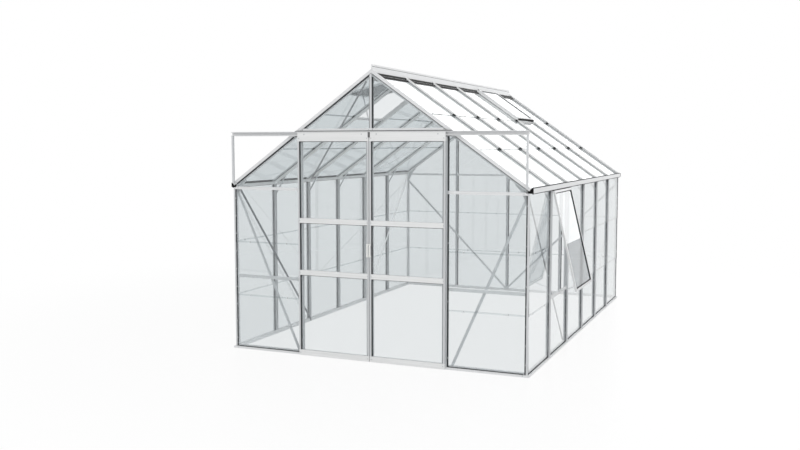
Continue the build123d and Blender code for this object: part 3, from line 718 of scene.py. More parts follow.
@dataclass(frozen=True)
class Bay:
    """The glass between two bars: where they stand, the rows of panes, and the kind of each bar."""

    start: float
    end: float
    rows: tuple[Row, ...]
    start_corner: bool = False
    end_corner: bool = False
    start_sealed: bool = True
    end_sealed: bool = True

    def sides(self) -> list[tuple[float, int, bool]]:
        """Find the bars that have seals.

        Returns:
            Place of each such bar, the direction from it to the glass, and whether it is a corner bar.
        """
        ends = (
            (self.start_sealed, (self.start, 1, self.start_corner)),
            (self.end_sealed, (self.end, -1, self.end_corner)),
        )
        return [side for sealed, side in ends if sealed]


@dataclass
class GlazedWall:
    """Seals and clips that hold the panes of one glazed plane."""

    name: str
    wall: Wall
    bays: tuple[Bay, ...]
    on_sill: bool = True
    on_slope: bool = False
    cap_half: float = CAP_HALF
    seal_show: float = 3 * MM
    seal_h: float = 3.2 * MM
    lip_h: float = 1.2 * MM
    lining_t: float = 1 * MM
    cap_side_shade_top: float = 0.0
    play: float = SEAL_GAP
    corner_play: float = 0.4 * MM
    rib_play: float = 0.5 * MM
    cap_play: float = EDGE_GAP
    stop_play: float = 1.6 * MM
    stop_w: float = 9 * MM
    stop_h: float = 26 * MM
    stop_t: float = 9 * MM
    clip_w: float = 9 * MM
    clip_t: float = 0.9 * MM
    clips_per_row: int = 3
    lap_clip_share: float = 0.22

    def seal_rings(self, row: Row, place: float, way: int, corner: bool) -> Array:
        """Points of one seal: a strip that fills the gap from glass to cap and ends in a thin lip.

        Args:
            row: Pane that the seal lies on.
            place: Place of the bar along the wall.
            way: Direction from the bar to the glass.
            corner: Whether the bar is a corner bar, whose face the strip only touches.

        Returns:
            Two rings of eight points, with the shape (2, 8, 3).
        """
        inner = self.corner_play if corner else RIB_HALF + self.rib_play
        cover = inner if corner else self.cap_half + self.cap_play
        outer = (0.0 if corner else self.cap_half) + self.seal_show
        side = cover + self.lining_t
        up = np.array((row.low, row.shown))
        foot = row.face(up) + self.play
        under = foot + self.seal_h if corner else np.full(2, CAP_FOOT - self.play)
        # On the gables the strip climbs the cap's side to its top, a dark lining that is painted shade on
        # that face
        top = np.maximum(under, 0.0 if corner else self.cap_side_shade_top)
        out = np.stack((foot, foot, foot + self.lip_h, under, top, top, under, under), -1)
        along = place + way * np.array((inner, outer, outer, side, side, cover, cover, inner))
        return self.wall.at(along, up[:, None], out)

    def seals(self) -> Surface:
        """Seal beside each bar, one length for each pane, leaning with its face."""
        places = [(row, *side) for bay in self.bays for row in bay.rows for side in bay.sides()]
        return skinned(np.stack([self.seal_rings(*place) for place in places]))

    def sill_seals(self) -> Surface:
        """Seal along the foot of the lowest panes: a wedge between the glass and the sill's ledge.

        Returns:
            The closed surface, one length for each bay.
        """
        wedge = np.array(((0.0, 0.0), (0.0, 5.0), (4.0, 2.5), (5.0, 0.0))) * MM
        foot = np.array((SILL_LEDGE, GLASS_REST + GLASS_STEP + GLASS_T)) + self.play
        inset = self.cap_half + self.seal_show
        ends = np.array([(bay.start + inset, bay.end - inset) for bay in self.bays])
        return carried(wedge + foot, self.wall.at(ends, 0.0, 0.0), self.wall.up, self.wall.out)

    def lap_stops(self) -> Surface:
        """Stops at the laps, one beside each bar: a small block over the upper pane's lower edge.

        Returns:
            The closed surface of all stops.
        """
        spans = []
        for bay in self.bays:
            for row in bay.rows[1:]:
                face = float(row.face(row.low))
                low, high = row.low - self.stop_h / 2, row.low + self.stop_h / 2
                rest = (low, high, face + self.play, face + self.stop_t)
                for place, way, corner in bay.sides():
                    near = place + way * (self.rib_play if corner else self.cap_half + self.stop_play)
                    spans.append((near, near + way * self.stop_w, *rest))
        return slabs(self.wall, spans)

    def clip_section(self) -> Array:
        """Flat section of a clip's leaf."""
        half = self.clip_w / 2
        return np.array(((-half, 0), (half, 0), (half, self.clip_t), (-half, self.clip_t)))

    def clips(self) -> Surface:
        """Spring clips across the seals: a bent leaf from under the cap down to the glass.

        Returns:
            The closed surface of all clips.
        """
        leaf = np.array(((0.4, 2.4), (2.0, 2.6), (5.5, 1.6), (9.0, 0.3))) * MM
        shares = (np.arange(self.clips_per_row) + 0.5) / self.clips_per_row
        parts = []
        for bay in self.bays:
            heights = [row.low + shares * (row.shown - row.low) for row in bay.rows]
            faces = np.concatenate([row.face(up) for row, up in zip(bay.rows, heights)])
            for place, way, corner in bay.sides():
                cover = 0.0 if corner else self.cap_half + self.lining_t
                along = place + way * (cover + leaf[:, 0])
                paths = self.wall.at(along, np.concatenate(heights)[:, None], faces[:, None] + leaf[:, 1])
                parts.append(carried(self.clip_section(), paths, self.wall.up, self.wall.out))
        return joined(parts)

    def lap_clips(self) -> list[Surface]:
        """Hooks at the laps, two for each pane: a leaf on the upper pane, bent in under its lower edge.

        Returns:
            The closed surface of each lap's hooks.
        """
        hook = np.array(((14.0, 0.1), (2.0, 0.1), (-1.2, -0.2), (-1.8, -2.2))) * MM
        shares = np.array((self.lap_clip_share, 1 - self.lap_clip_share))
        parts = []
        for bay in self.bays:
            places = bay.start + (bay.end - bay.start) * shares
            for row in bay.rows[1:]:
                paths = self.wall.at(places[:, None], row.low + hook[:, 0], row.face(row.low) + hook[:, 1])
                parts.append(carried(self.clip_section(), paths, self.wall.along, self.wall.out))
        return parts

    def build(self, palette: Palette) -> None:
        """Make the wall's seals, stops and clips.

        Args:
            palette: The finishes.
        """
        seals = [self.seals()]
        if self.on_sill:
            seals.append(self.sill_seals())
        rubber = palette.roof_rubber_material if self.on_slope else palette.rubber_material
        make_piece(f"{self.name}_seals", joined(seals), rubber)
        if self.on_slope:
            make_piece(f"{self.name}_stops", self.lap_stops(), palette.plastic_material)
        clips = joined((self.clips(), *self.lap_clips()))
        make_piece(f"{self.name}_clips", clips, palette.steel_material)


@dataclass
class Glazing:
    """The seals and clips of every wall, slope and gable."""

    house: House
    wall_laps: tuple[float, ...] = (0.447, 0.893)
    roof_laps_x: tuple[float, ...] = (0.835, 0.447)
    roof_top_x: float = 0.026
    vent_sill_run: float = 0.9548
    window_bay: int = 2
    left_vent_bay: int = 2
    right_vent_bay: int = 5
    roof_seal_show: float = 1.5 * MM
    gable_seal_show: float = 10 * MM
    gable_cap_side_shade_top: float = 22 * MM
    post_gap: float = 18 * MM
    king_gap: float = 22 * MM

    def bays(
        self, rows: tuple[Row, ...], open_bay: int = 0, open_rows: tuple[Row, ...] = ()
    ) -> tuple[Bay, ...]:
        """Bays of a long wall or slope.

        Args:
            rows: Rows of a closed bay.
            open_bay: Number of the bay with a window or vent, or 0.
            open_rows: Rows of that bay.

        Returns:
            The bays from the front.
        """
        bay, last = self.house.bay, self.house.bays_along
        return tuple(
            Bay(bay * (n - 1), bay * n, open_rows if n == open_bay else rows, n == 1, n == last)
            for n in range(1, last + 1)
        )

    def side_walls(self) -> tuple[GlazedWall, ...]:
        """Right and left walls; the right one has its window's bay open above the sill bar.

        Returns:
            The two glazed planes.
        """
        rows = lapped(SILL_LEDGE, self.wall_laps, self.house.gutter_z - EDGE_PLAY)
        window_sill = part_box("vent_and_window_sills")[0].z
        under_window = (Row(SILL_LEDGE, window_sill, window_sill),)
        return (
            GlazedWall("right_wall", self.house.side(1), self.bays(rows, self.window_bay, under_window)),
            GlazedWall("left_wall", self.house.side(-1), self.bays(rows)),
        )

    def slopes(self) -> tuple[GlazedWall, ...]:
        """Right and left slopes, each with its vent's bay open above the sill bar.

        Returns:
            The two glazed planes.
        """
        laps = tuple(self.house.roof_run(x) for x in self.roof_laps_x)
        rows = lapped(EDGE_PLAY, laps, self.house.roof_run(self.roof_top_x))
        under_vent = (rows[0], Row(rows[1].low, self.vent_sill_run, self.vent_sill_run))
        planes = (("right_slope", 1, self.right_vent_bay), ("left_slope", -1, self.left_vent_bay))
        return tuple(
            GlazedWall(
                name,
                self.house.slope(sign),
                self.bays(rows, vent_bay, under_vent),
                on_sill=False,
                on_slope=True,
                seal_show=self.roof_seal_show,
            )
            for name, sign, vent_bay in planes
        )

    def gables(self) -> tuple[GlazedWall, ...]:
        """Front gable beside the doors and back gable, each with the flat panes of its top.

        Returns:
            The four glazed planes, whose bars have narrow caps; the seals climb the caps' sides, a dark
            lining that is painted shade on them.
        """
        rail_low, rail_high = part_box("eave_rails")
        header_low, header_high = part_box("door_header")
        rows = lapped(SILL_LEDGE, self.wall_laps, rail_low.z - EDGE_PLAY)
        half, bay = self.house.half_w, self.house.bay
        left = Bay(-half, -bay, rows, start_corner=True)
        right = Bay(bay, half, rows, end_corner=True)
        middle = (Bay(-bay, 0.0, rows), Bay(0.0, bay, rows))
        king_top = self.house.ridge_z - self.king_gap
        post_top = self.house.roof_z(bay) - self.post_gap
        outer, inner, king = ((-bay, -1), (bay, 1)), ((-bay, 1), (bay, -1)), ((0.0, -1), (0.0, 1))
        front_top = self.top_bays(rail_high.z, header_low.z, outer)
        front_top += self.top_bays(header_high.z, king_top, king)
        back_top = self.top_bays(rail_high.z, post_top, outer + inner)
        back_top += self.top_bays(rail_high.z, king_top, king)
        planes = (
            ("front_gable", False, (left, right), True),
            ("front_gable_top", False, front_top, False),
            ("back_gable", True, (left, *middle, right), True),
            ("back_gable_top", True, back_top, False),
        )
        return tuple(
            GlazedWall(
                name,
                self.house.gable(back),
                bays,
                on_sill=on_sill,
                cap_half=GABLE_CAP_HALF,
                seal_show=self.gable_seal_show,
                cap_side_shade_top=self.gable_cap_side_shade_top,
            )
            for name, back, bays, on_sill in planes
        )

    def top_bays(self, low: float, high: float, edges: tuple[tuple[float, int], ...]) -> tuple[Bay, ...]:
        """Bays of a gable's flat top panes, each sealed at one post only.

        Args:
            low: Lower end of the seals.
            high: Upper end.
            edges: Place of each post and the direction from it to the glass.

        Returns:
            One half-sealed bay for each edge.
        """
        top = high - EDGE_PLAY
        rows = (Row(low + EDGE_PLAY, top, top, lean=0.0),)
        bays = []
        for place, way in edges:
            start, end = sorted((place, place + way * self.house.bay))
            bays.append(Bay(start, end, rows, start_sealed=way > 0, end_sealed=way < 0))
        return tuple(bays)

    def build(self, palette: Palette) -> None:
        """Make the seals and clips of every glazed plane."""
        for part in (*self.side_walls(), *self.slopes(), *self.gables()):
            part.build(palette)


# Roof trim
@dataclass
class RoofTrim:
    """Strips and the bead along the ridge, the gables' sloping edges and the gutters; the black strips are
    painted shadow, except the seal strip beside the ridge.
    """

    house: House
    glazing: Glazing
    gutter_lip_in: float = 7 * MM
    end_play: float = 1 * MM
    strip_t: float = 6 * MM
    strip_drop: float = 15 * MM
    strip_rise: float = 7 * MM
    under_gutter_shade_h: float = 6 * MM
    groove_x: Pair = (3.1 * MM, 4.9 * MM)
    groove_drop: Pair = (16.9 * MM, 14.1 * MM)
    right_verge: Pair = (2 * MM, 5.6 * MM)
    left_verge: Pair = (-5 * MM, 5.6 * MM)
    verge_out: Pair = (9.2 * MM, 12.5 * MM)
    front_verge_runs: tuple[Pair, ...] = ((0.012, 0.583), (0.686, 1.225))
    back_verge_runs: tuple[Pair, ...] = ((0.012, 0.606), (0.638, 1.225))

    def ridge_profiles(self) -> tuple[Array, Array, Array]:
        """Sections beside the ridge as (across, out of the slope).

        Returns:
            A black fillet against the ridge that is painted shadow under its overhang, a rounded bead and a
            flat seal strip.
        """
        # The fillet is a black wedge that is painted shadow under the ridge's overhang
        fillet = np.array(((17.0, 9.4), (31.0, 9.4), (31.0, 12.0), (17.0, 24.0))) * MM
        bead = np.array(((31.5, 9.4), (38.5, 9.4), (38.5, 14.0), (35.0, 16.5), (31.5, 14.0))) * MM
        strip = np.array(((39.0, 9.4), (48.0, 9.4), (47.0, 13.0), (39.0, 18.0))) * MM
        return fillet, bead, strip

    def ridge_spans(self, vent_bay: int) -> Array:
        """Start and end of the strips in each bay between the bars' caps, without the vent's bay.

        Args:
            vent_bay: Number of the bay with the vent.

        Returns:
            Places along the house with the shape (bays, 2).
        """
        bay, count = self.house.bay, self.house.bays_along
        number = np.array([n for n in range(1, count + 1) if n != vent_bay])
        first = np.where(number == 1, 0.0, CAP_HALF) + self.end_play
        last = np.where(number == count, 0.0, CAP_HALF) + self.end_play
        return np.stack(((number - 1) * bay + first, number * bay - last), -1)

    def ridge_strip(self, profile: Array) -> Surface:
        """One section carried along the ridge on both slopes, a length in each bay.

        Args:
            profile: The section.

        Returns:
            The closed surface of all lengths.
        """
        parts = []
        for sign, vent_bay in ((1, self.glazing.right_vent_bay), (-1, self.glazing.left_vent_bay)):
            slope = self.house.slope(sign)
            paths = slope.at(self.ridge_spans(vent_bay), self.house.roof_run(0.0), 0.0)
            parts.append(carried(profile / (cos(self.house.pitch), 1.0), paths, -slope.up, slope.out))
        return joined(parts)

    def verge_shadow_strips(self) -> Surface:
        """Dark strips on the gable glass under the rafters' faces, painted shadow of the gap under them,
        broken where the header or a post crosses.

        Returns:
            The closed surface of all strips.
        """
        parts = []
        for back, runs in ((False, self.front_verge_runs), (True, self.back_verge_runs)):
            for sign, rise in ((1, self.right_verge), (-1, self.left_verge)):
                ends = np.array(runs) / cos(self.house.pitch)
                spans = [(*end, *rise, *self.verge_out) for end in ends]
                parts.append(slabs(self.house.verge(back, sign), spans))
        return joined(parts)

    def side_strips(self) -> Surface:
        """Dark strips inside the gutters' lips, under the gutters and in the ridge's grooves, all painted
        shadow of the troughs, the gutters' undersides and the grooves.

        Returns:
            The closed surface of the strips of both sides.
        """
        low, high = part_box("right_gutter")
        lip = high.x - self.gutter_lip_in - EDGE_GAP - self.house.half_w
        edge = high.x - self.strip_t / 2 - self.house.half_w
        ends = (low.y + self.end_play, high.y - self.end_play)
        # Painted shadow inside the gutter's lip, under the gutter, and in the ridge's groove
        trough_shade = (*ends, high.z - self.strip_drop, high.z + self.strip_rise, lip - self.strip_t, lip)
        under_gutter_shade = (*ends, low.z - self.under_gutter_shade_h, low.z - SEAL_GAP, edge - self.strip_t, edge)
        ridge_low, ridge_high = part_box("ridge_bar")
        level = [ridge_high.z - drop for drop in self.groove_drop]
        depth = [x - self.house.half_w for x in self.groove_x]
        ridge_ends = (ridge_low.y + self.end_play, ridge_high.y - self.end_play)
        groove = (*ridge_ends, *level, *depth)
        return joined(slabs(self.house.side(sign), (trough_shade, under_gutter_shade, groove)) for sign in (1, -1))

    def build(self, palette: Palette) -> None:
        """Make the strips and the bead.

        Args:
            palette: The finishes.
        """
        fillet, bead, strip = (self.ridge_strip(profile) for profile in self.ridge_profiles())
        make_piece("ridge_shadow_and_seals", joined((fillet, strip)), palette.plastic_material)
        make_piece("ridge_beads", bead, palette.frame_materials[Run.ALONG])
        make_piece("verge_shadow_strips", self.verge_shadow_strips(), palette.rubber_material)
        make_piece("eave_shadow_strips", self.side_strips(), palette.rubber_material)


# Sashes
@dataclass
class Sash:
    """Trim of one roof vent or window: seals on its glass, a hinge cover and corner screws."""

    name: str
    frame: Wall
    length: float
    foot_strip: bool = False
    hinge_strip: float = 6 * MM
    on_slope: bool = True
    half_w: float = 304 * MM
    thick: float = 15 * MM
    rim: float = 18 * MM
    glass_face: float = 8 * MM
    seal_w: float = 7 * MM
    play: float = EDGE_GAP
    strip_play: float = 0.4 * MM
    strip_foot: float = 1 * MM
    inset: float = 2 * MM
    foot_h: float = 7 * MM
    foot_drop: float = 9 * MM
    screw_inset: float = 9 * MM

    @staticmethod
    def hinged(wall: Wall, along: float, up: float, out: float, turn: float) -> Wall:
        """Frame of a sash that is swung out about its top edge.

        Args:
            wall: Frame of the wall or slope.
            along: Middle of the sash along the wall.
            up: Height of its hinge edge.
            out: Distance of its underside out of the wall at the hinge.
            turn: Angle of opening.

        Returns:
            A frame with its origin in the middle of the hinge edge.
        """
        up_dir = cos(turn) * wall.up - sin(turn) * wall.out
        out_dir = sin(turn) * wall.up + cos(turn) * wall.out
        return Wall(wall.at(along, up, out), wall.along, up_dir, out_dir)

    def seals(self) -> Surface:
        """Rubber strips on the pane along the four sides of the rim.

        Returns:
            The closed surface of the four strips.
        """
        inner, outer = self.half_w - self.rim - self.seal_w, self.half_w - self.rim - self.play
        low, high = -self.length + self.rim + self.play, -self.rim - self.play
        depth = (self.glass_face + SEAL_GAP, self.thick - self.inset)
        spans = (
            (inner, outer, low, high, *depth),
            (-outer, -inner, low, high, *depth),
            (-inner, inner, low, low + self.seal_w, *depth),
            (-inner, inner, high - self.seal_w, high, *depth),
        )
        return slabs(self.frame, spans)

    def edge_strips(self) -> Surface:
        """Rubber along the hinge edge, and along the free edge of a shut vent.

        Returns:
            The closed surface of the strips.
        """
        half = self.half_w - self.inset
        front = self.thick - self.inset
        spans = [(-half, half, self.strip_play, self.hinge_strip, self.strip_foot, front)]
        if self.foot_strip:
            top = -self.length - self.strip_play
            spans.append((-half, half, -self.length - self.foot_h, top, -self.foot_drop, front))
        return slabs(self.frame, spans)

    def screws(self) -> Surface:
        """Round heads at the corners of the sash.

        Returns:
            The closed surface of all heads.
        """
        profile = np.array(((3.4, 0.0), (3.4, 0.7), (2.2, 1.2))) * MM
        along = np.array((-self.half_w + self.screw_inset, self.half_w - self.screw_inset))
        up = np.array((-self.screw_inset, -self.length + self.screw_inset))
        centres = self.frame.at(along[:, None], up[None, :], self.thick).reshape(-1, 3)
        return turned(profile, centres, self.frame.out)

    def build(self, palette: Palette) -> None:
        """Make the sash's trim.

        Args:
            palette: The finishes.
        """
        rubber = palette.roof_rubber_material if self.on_slope else palette.plastic_material
        make_piece(f"{self.name}_seals", self.seals(), rubber)
        make_piece(f"{self.name}_strips", self.edge_strips(), palette.plastic_material)
        make_piece(f"{self.name}_screws", self.screws(), palette.steel_material)


@dataclass
class Sashes:
    """The open vent on the left slope, the shut one on the right slope and the open side window."""

    house: House
    glazing: Glazing
    hinge_out: float = 27.3 * MM
    vent_hinge_x: float = 0.022
    vent_length: float = 0.512
    vent_turn: float = 21.5 * pi / 180
    window_drop: float = 12 * MM
    window_length: float = 0.812
    window_turn: float = 13.5 * pi / 180
    window_hinge_strip: float = 8.5 * MM

    def build(self, palette: Palette) -> None:
        """Make the trim of the three sashes.

        Args:
            palette: The finishes.
        """
        house, glazing = self.house, self.glazing
        vent_up = house.roof_run(self.vent_hinge_x)
        window_up = house.gutter_z - self.window_drop
        places = (
            (house.slope(-1), glazing.left_vent_bay, vent_up, self.vent_turn),
            (house.slope(1), glazing.right_vent_bay, vent_up, 0.0),
            (house.side(1), glazing.window_bay, window_up, self.window_turn),
        )
        left, right, window = (
            Sash.hinged(wall, house.bay * (number - 0.5), up, self.hinge_out, turn)
            for wall, number, up, turn in places
        )
        strip = self.window_hinge_strip
        sashes = (
            Sash("left_vent", left, self.vent_length),
            Sash("right_vent", right, self.vent_length, foot_strip=True),
            Sash("side_window", window, self.window_length, hinge_strip=strip, on_slope=False),
        )
        for sash in sashes:
            sash.build(palette)


# Fixings
@dataclass
class Fixings:
    """Bolt heads and nuts where the frame's pieces are joined, and dark strips on the header that are painted
    shadow.
    """

    house: House
    header_z: float = 1.819
    header_insets: Pair = (24 * MM, 16 * MM)
    rail_out: float = 20 * MM
    rail_z: float = 1.346
    rail_insets: Pair = (30 * MM, 18 * MM)
    sill_out: float = 28 * MM
    sill_z: float = 9 * MM
    sill_inset: float = 20 * MM
    knee_x: Pair = (1.234, 1.149)
    knee_drops: Pair = (72 * MM, 12 * MM)
    knee_face: float = 14.4 * MM
    axle_places: Pair = (63 * MM, 566 * MM)
    axle_z: float = 1.7828
    screw_places: Pair = (16 * MM, 613 * MM)
    screw_heights: tuple[float, ...] = (0.028, 0.680, 1.0985, 1.751)
    head: tuple[Pair, ...] = ((5.5, 0.0), (5.5, 1.6), (4.0, 2.6), (0.6, 3.0))
    rail_scale: float = 0.8
    sill_scale: float = 0.9
    knee_scale: float = 0.9
    axle_scale: float = 0.95
    screw_scale: float = 0.8
    # Size of the header's dark strips, which are painted shadow
    shade_strip_inset: float = 14 * MM
    shade_strip_h: float = 5.4 * MM
    shade_strip_t: float = 3.4 * MM

    def heads(
        self, wall: Wall, along: Array, up: Array | float, out: Array | float, scale: float = 1.0
    ) -> Surface:
        """Domed bolt heads on a plane: a low cylinder with a chamfer, turned about the wall's normal.

        Args:
            wall: Frame of the wall.
            along: Places along it.
            up: Heights.
            out: Distance of the plane out of the wall.
            scale: Size of a head against the usual one.

        Returns:
            The heads as one surface.
        """
        profile = np.array(self.head) * MM * scale
        return turned(profile, wall.at(along, up, out).reshape(-1, 3), wall.out)

    def gable_heads(self) -> Surface:
        """Bolts of the front header, the eave rails and the front sill.

        Returns:
            The heads as one surface.
        """
        front, back = self.house.gable(False), self.house.gable(True)
        bay, half = self.house.bay, self.house.half_w
        at_post, at_king = self.header_insets
        header = np.array((-bay + at_post, -at_king, at_king, bay - at_post))
        at_corner, past_post = self.rail_insets
        rail = np.array((-half + at_corner, -bay - past_post, bay + past_post, half - at_corner))
        sill = np.array((-half + self.sill_inset, -bay, 0.0, bay, half - self.sill_inset))
        parts = (
            self.heads(front, header, self.header_z, GABLE_CAP_OUT),
            self.heads(front, rail, self.rail_z, self.rail_out, self.rail_scale),
            self.heads(back, rail, self.rail_z, self.rail_out, self.rail_scale),
            self.heads(front, sill, self.sill_z, self.sill_out, self.sill_scale),
        )
        return joined(parts)

    def side_heads(self) -> Surface:
        """Bolts of the side sills, one at each bar.

        Returns:
            The heads as one surface.
        """
        places = (self.house.bar_places, self.sill_z, self.sill_out)
        walls = (self.house.side(1), self.house.side(-1))
        return joined(self.heads(wall, *places, self.sill_scale) for wall in walls)

    def knee_nuts(self) -> Surface:
        """Nuts at both ends of each knee brace.

        Returns:
            The nuts as one surface.
        """
        across = Wall(np.zeros(3), AXIS_X, AXIS_Z, AXIS_Y)
        x = np.array(self.knee_x)
        z = np.array((self.house.gutter_z, self.house.roof_z(x[1]))) - self.knee_drops
        y = self.house.bar_places[:, None] + self.knee_face
        return joined(self.heads(across, sign * x, z, y, self.knee_scale) for sign in (1, -1))

    def leaf_heads(self, sign: int) -> Surface:
        """Screws at the ends of a door leaf's rails, and the nuts of its rollers' axles.

        Args:
            sign: 1 for the right leaf, -1 for the left one.

        Returns:
            The heads as one surface.
        """
        wall = self.house.gable(False)
        axles = sign * np.array(self.axle_places)
        ends = sign * np.array(self.screw_places)[:, None]
        nuts = self.heads(wall, axles, self.axle_z, LEAF_FRONT, self.axle_scale)
        screws = self.heads(wall, ends, np.array(self.screw_heights), LEAF_FRONT, self.screw_scale)
        return joined((nuts, screws))

    def header_shadow_strips(self) -> Surface:
        """Dark strips on the header's face, one under the track and one over it: painted shadow in the gap
        behind the leaves, and a painted shadow line above the track.

        Returns:
            The closed surface of both.
        """
        low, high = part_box("door_header")
        track_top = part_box("door_track")[1].z
        ends = (low.x + self.shade_strip_inset, high.x - self.shade_strip_inset)
        depth = (GABLE_CAP_OUT + FACE_GAP, GABLE_CAP_OUT + self.shade_strip_t)
        starts = (low.z + EDGE_GAP, track_top + EDGE_GAP)
        return slabs(self.house.gable(False), [(*ends, z, z + self.shade_strip_h, *depth) for z in starts])

    def build(self, palette: Palette) -> None:
        """Make all fixings, the leaves' ones on their own bodies.

        Args:
            palette: The finishes.
        """
        frame = joined((self.gable_heads(), self.side_heads(), self.knee_nuts()))
        make_piece("frame_fixings", frame, palette.steel_material)
        make_piece("header_shadow_strips", self.header_shadow_strips(), palette.rubber_material)
        for body, sign in (("left_door", -1), ("right_door", 1)):
            heads = self.leaf_heads(sign)
            make_piece(f"{body}_fixings", heads, palette.steel_material, body)


# Doors
@dataclass
class DoorLeaf:
    """Seals of one sliding leaf, dark strips under its rails that are painted shade, and the cap at its
    hanger strip's end.
    """

    name: str
    sign: int
    house: House
    gap: float = 3 * MM
    stile_face: float = 14 * MM
    glass_face: float = 43.05 * MM
    cover: float = 4 * MM
    heights: tuple[Pair, ...] = ((0.050, 0.660), (0.700, 1.079), (1.118, 1.728))
    rail_shade_inset: float = 7 * MM
    rail_shade_h: float = 4.5 * MM
    rail_shade_t: float = 4 * MM
    cap_w: float = 5 * MM
    cap_t: float = 2 * MM
    cap_z: Pair = (1.757, 1.797)

    @property
    def stile_edges(self) -> Pair:
        """Distances from the house's middle to the glass side of the meeting stile and the outer one."""
        return self.gap + self.stile_face, self.house.bay + self.cover - self.stile_face

    def seals(self) -> Surface:
        """Seals on the glass beside both stiles, between the rails: a lip and a lining of the stile's side.

        Returns:
            The closed surface of all lengths.
        """
        wall = self.house.gable(False)
        outline = ((0.4, 0.2), (6.5, 0.2), (6.5, 1.6), (1.6, 4.0), (1.4, 12.5), (0.4, 12.5))
        parts = []
        for place, way in zip(self.stile_edges, (1, -1)):
            paths = wall.at(self.sign * place, np.array(self.heights), self.glass_face)
            parts.append(carried(np.array(outline) * MM, paths, self.sign * way * wall.along, wall.out))
        return joined(parts)

    def rail_shade_strips(self) -> Surface:
        """Dark strips on the glass under each rail, between the seals beside the stiles: painted shade under
        the rails.

        Returns:
            The closed surface of all strips.
        """
        near, far = self.stile_edges
        ends = sorted((self.sign * (near + self.rail_shade_inset), self.sign * (far - self.rail_shade_inset)))
        depth = (self.glass_face + SEAL_GAP, self.glass_face + self.rail_shade_t)
        spans = [(*ends, top - self.rail_shade_h, top - EDGE_GAP, *depth) for _, top in self.heights]
        return slabs(self.house.gable(False), spans)

    def cap(self) -> Surface:
        """Black cap on the front of the hanger strip, at the edge where the leaves meet.

        Returns:
            The closed surface of the cap.
        """
        ends = sorted((self.sign * self.gap, self.sign * (self.gap + self.cap_w)))
        depth = (LEAF_FRONT + FACE_GAP, LEAF_FRONT + self.cap_t)
        return slabs(self.house.gable(False), [(*ends, *self.cap_z, *depth)])

    def build(self, palette: Palette) -> None:
        """Make the leaf's seals with the painted-shade strips under its rails, and its hanger cap.

        Args:
            palette: The finishes.
        """
        # The rail strips in this piece are painted shade
        seals = joined((self.seals(), self.rail_shade_strips()))
        make_piece(f"{self.name}_seals", seals, palette.rubber_material, body=self.name)
        make_piece(f"{self.name}_cap", self.cap(), palette.plastic_material, body=self.name)


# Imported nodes
@dataclass
class FrameDresser:
    """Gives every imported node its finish."""

    nodes: Mapping[str, bpy.types.Object]
    house: House

    def glass(self, palette: Palette) -> dict[str, bpy.types.Material]:
        """Glass for each pane direction.

        Args:
            palette: The finishes.

        Returns:
            Node names and their glass.
        """
        across, up = sin(self.house.pitch), cos(self.house.pitch)
        side = palette.glass.material("side", (1.0, 0.0, 0.0))
        gable = palette.glass.material("gable", (0.0, 1.0, 0.0))
        made = dict.fromkeys(("left_wall_glass", "right_wall_glass"), side)
        for name in ("front_gable_glass", "back_gable_glass", "left_door_glass", "right_door_glass"):
            made[name] = gable
        made["right_roof_glass"] = palette.glass.material("right_slope", (across, 0.0, up))
        made["left_roof_glass"] = palette.dull_shaded_glass.material("left_slope", (-across, 0.0, up))
        made["vent_and_window_panes"] = palette.sash_glass.sash_material()
        return made

    def metal(self, palette: Palette) -> dict[str, bpy.types.Material]:
        """Aluminium for each bar direction, and zinc for the braces of the walls and the roof.

        Args:
            palette: The finishes.

        Returns:
            Node names and their metal.
        """
        runs = {
            Run.UP: (
                "corner_posts", "left_wall_bars", "right_wall_bars", "front_gable_posts",
                "back_gable_posts", "track_posts", "gable_braces", "knee_braces", "eave_gussets",
                "vent_and_window_stays",
            ),
            Run.ACROSS: (
                "front_sill", "back_sill", "eave_rails", "front_mid_rails", "door_header", "door_track",
                "gable_rafters", "side_window_frame",
            ),
            Run.ALONG: (
                "left_sill", "right_sill", "left_gutter", "right_gutter", "ridge_bar",
                "vent_and_window_sills", "roof_vent_frames",
            ),
            Run.RIGHT_SLOPE: ("right_roof_bars",),
            Run.LEFT_SLOPE: ("left_roof_bars",),
        }
        made = {name: palette.frame_materials[run] for run, names in runs.items() for name in names}
        return made | dict.fromkeys(("side_wall_braces", "roof_braces"), palette.brace_material)

    def dress(self, palette: Palette) -> None:
        """Assign the finishes to the nodes' material slots.

        Args:
            palette: The finishes.
        """
        finishes = self.glass(palette) | self.metal(palette)
        finishes["gutter_end_caps"] = palette.plastic_material
        for leaf in ("left_door", "right_door"):
            finishes[f"{leaf}_stiles"] = palette.stile_shaded_material
            finishes[f"{leaf}_rails"] = palette.door_material
            finishes[f"{leaf}_rollers"] = palette.plastic_material
            finishes[f"{leaf}_handle"] = palette.white_material
        for name, node in self.nodes.items():
            node.data.materials.clear()
            node.data.materials.append(finishes[name])
            LOG.info("%s: %s", name, finishes[name].name)


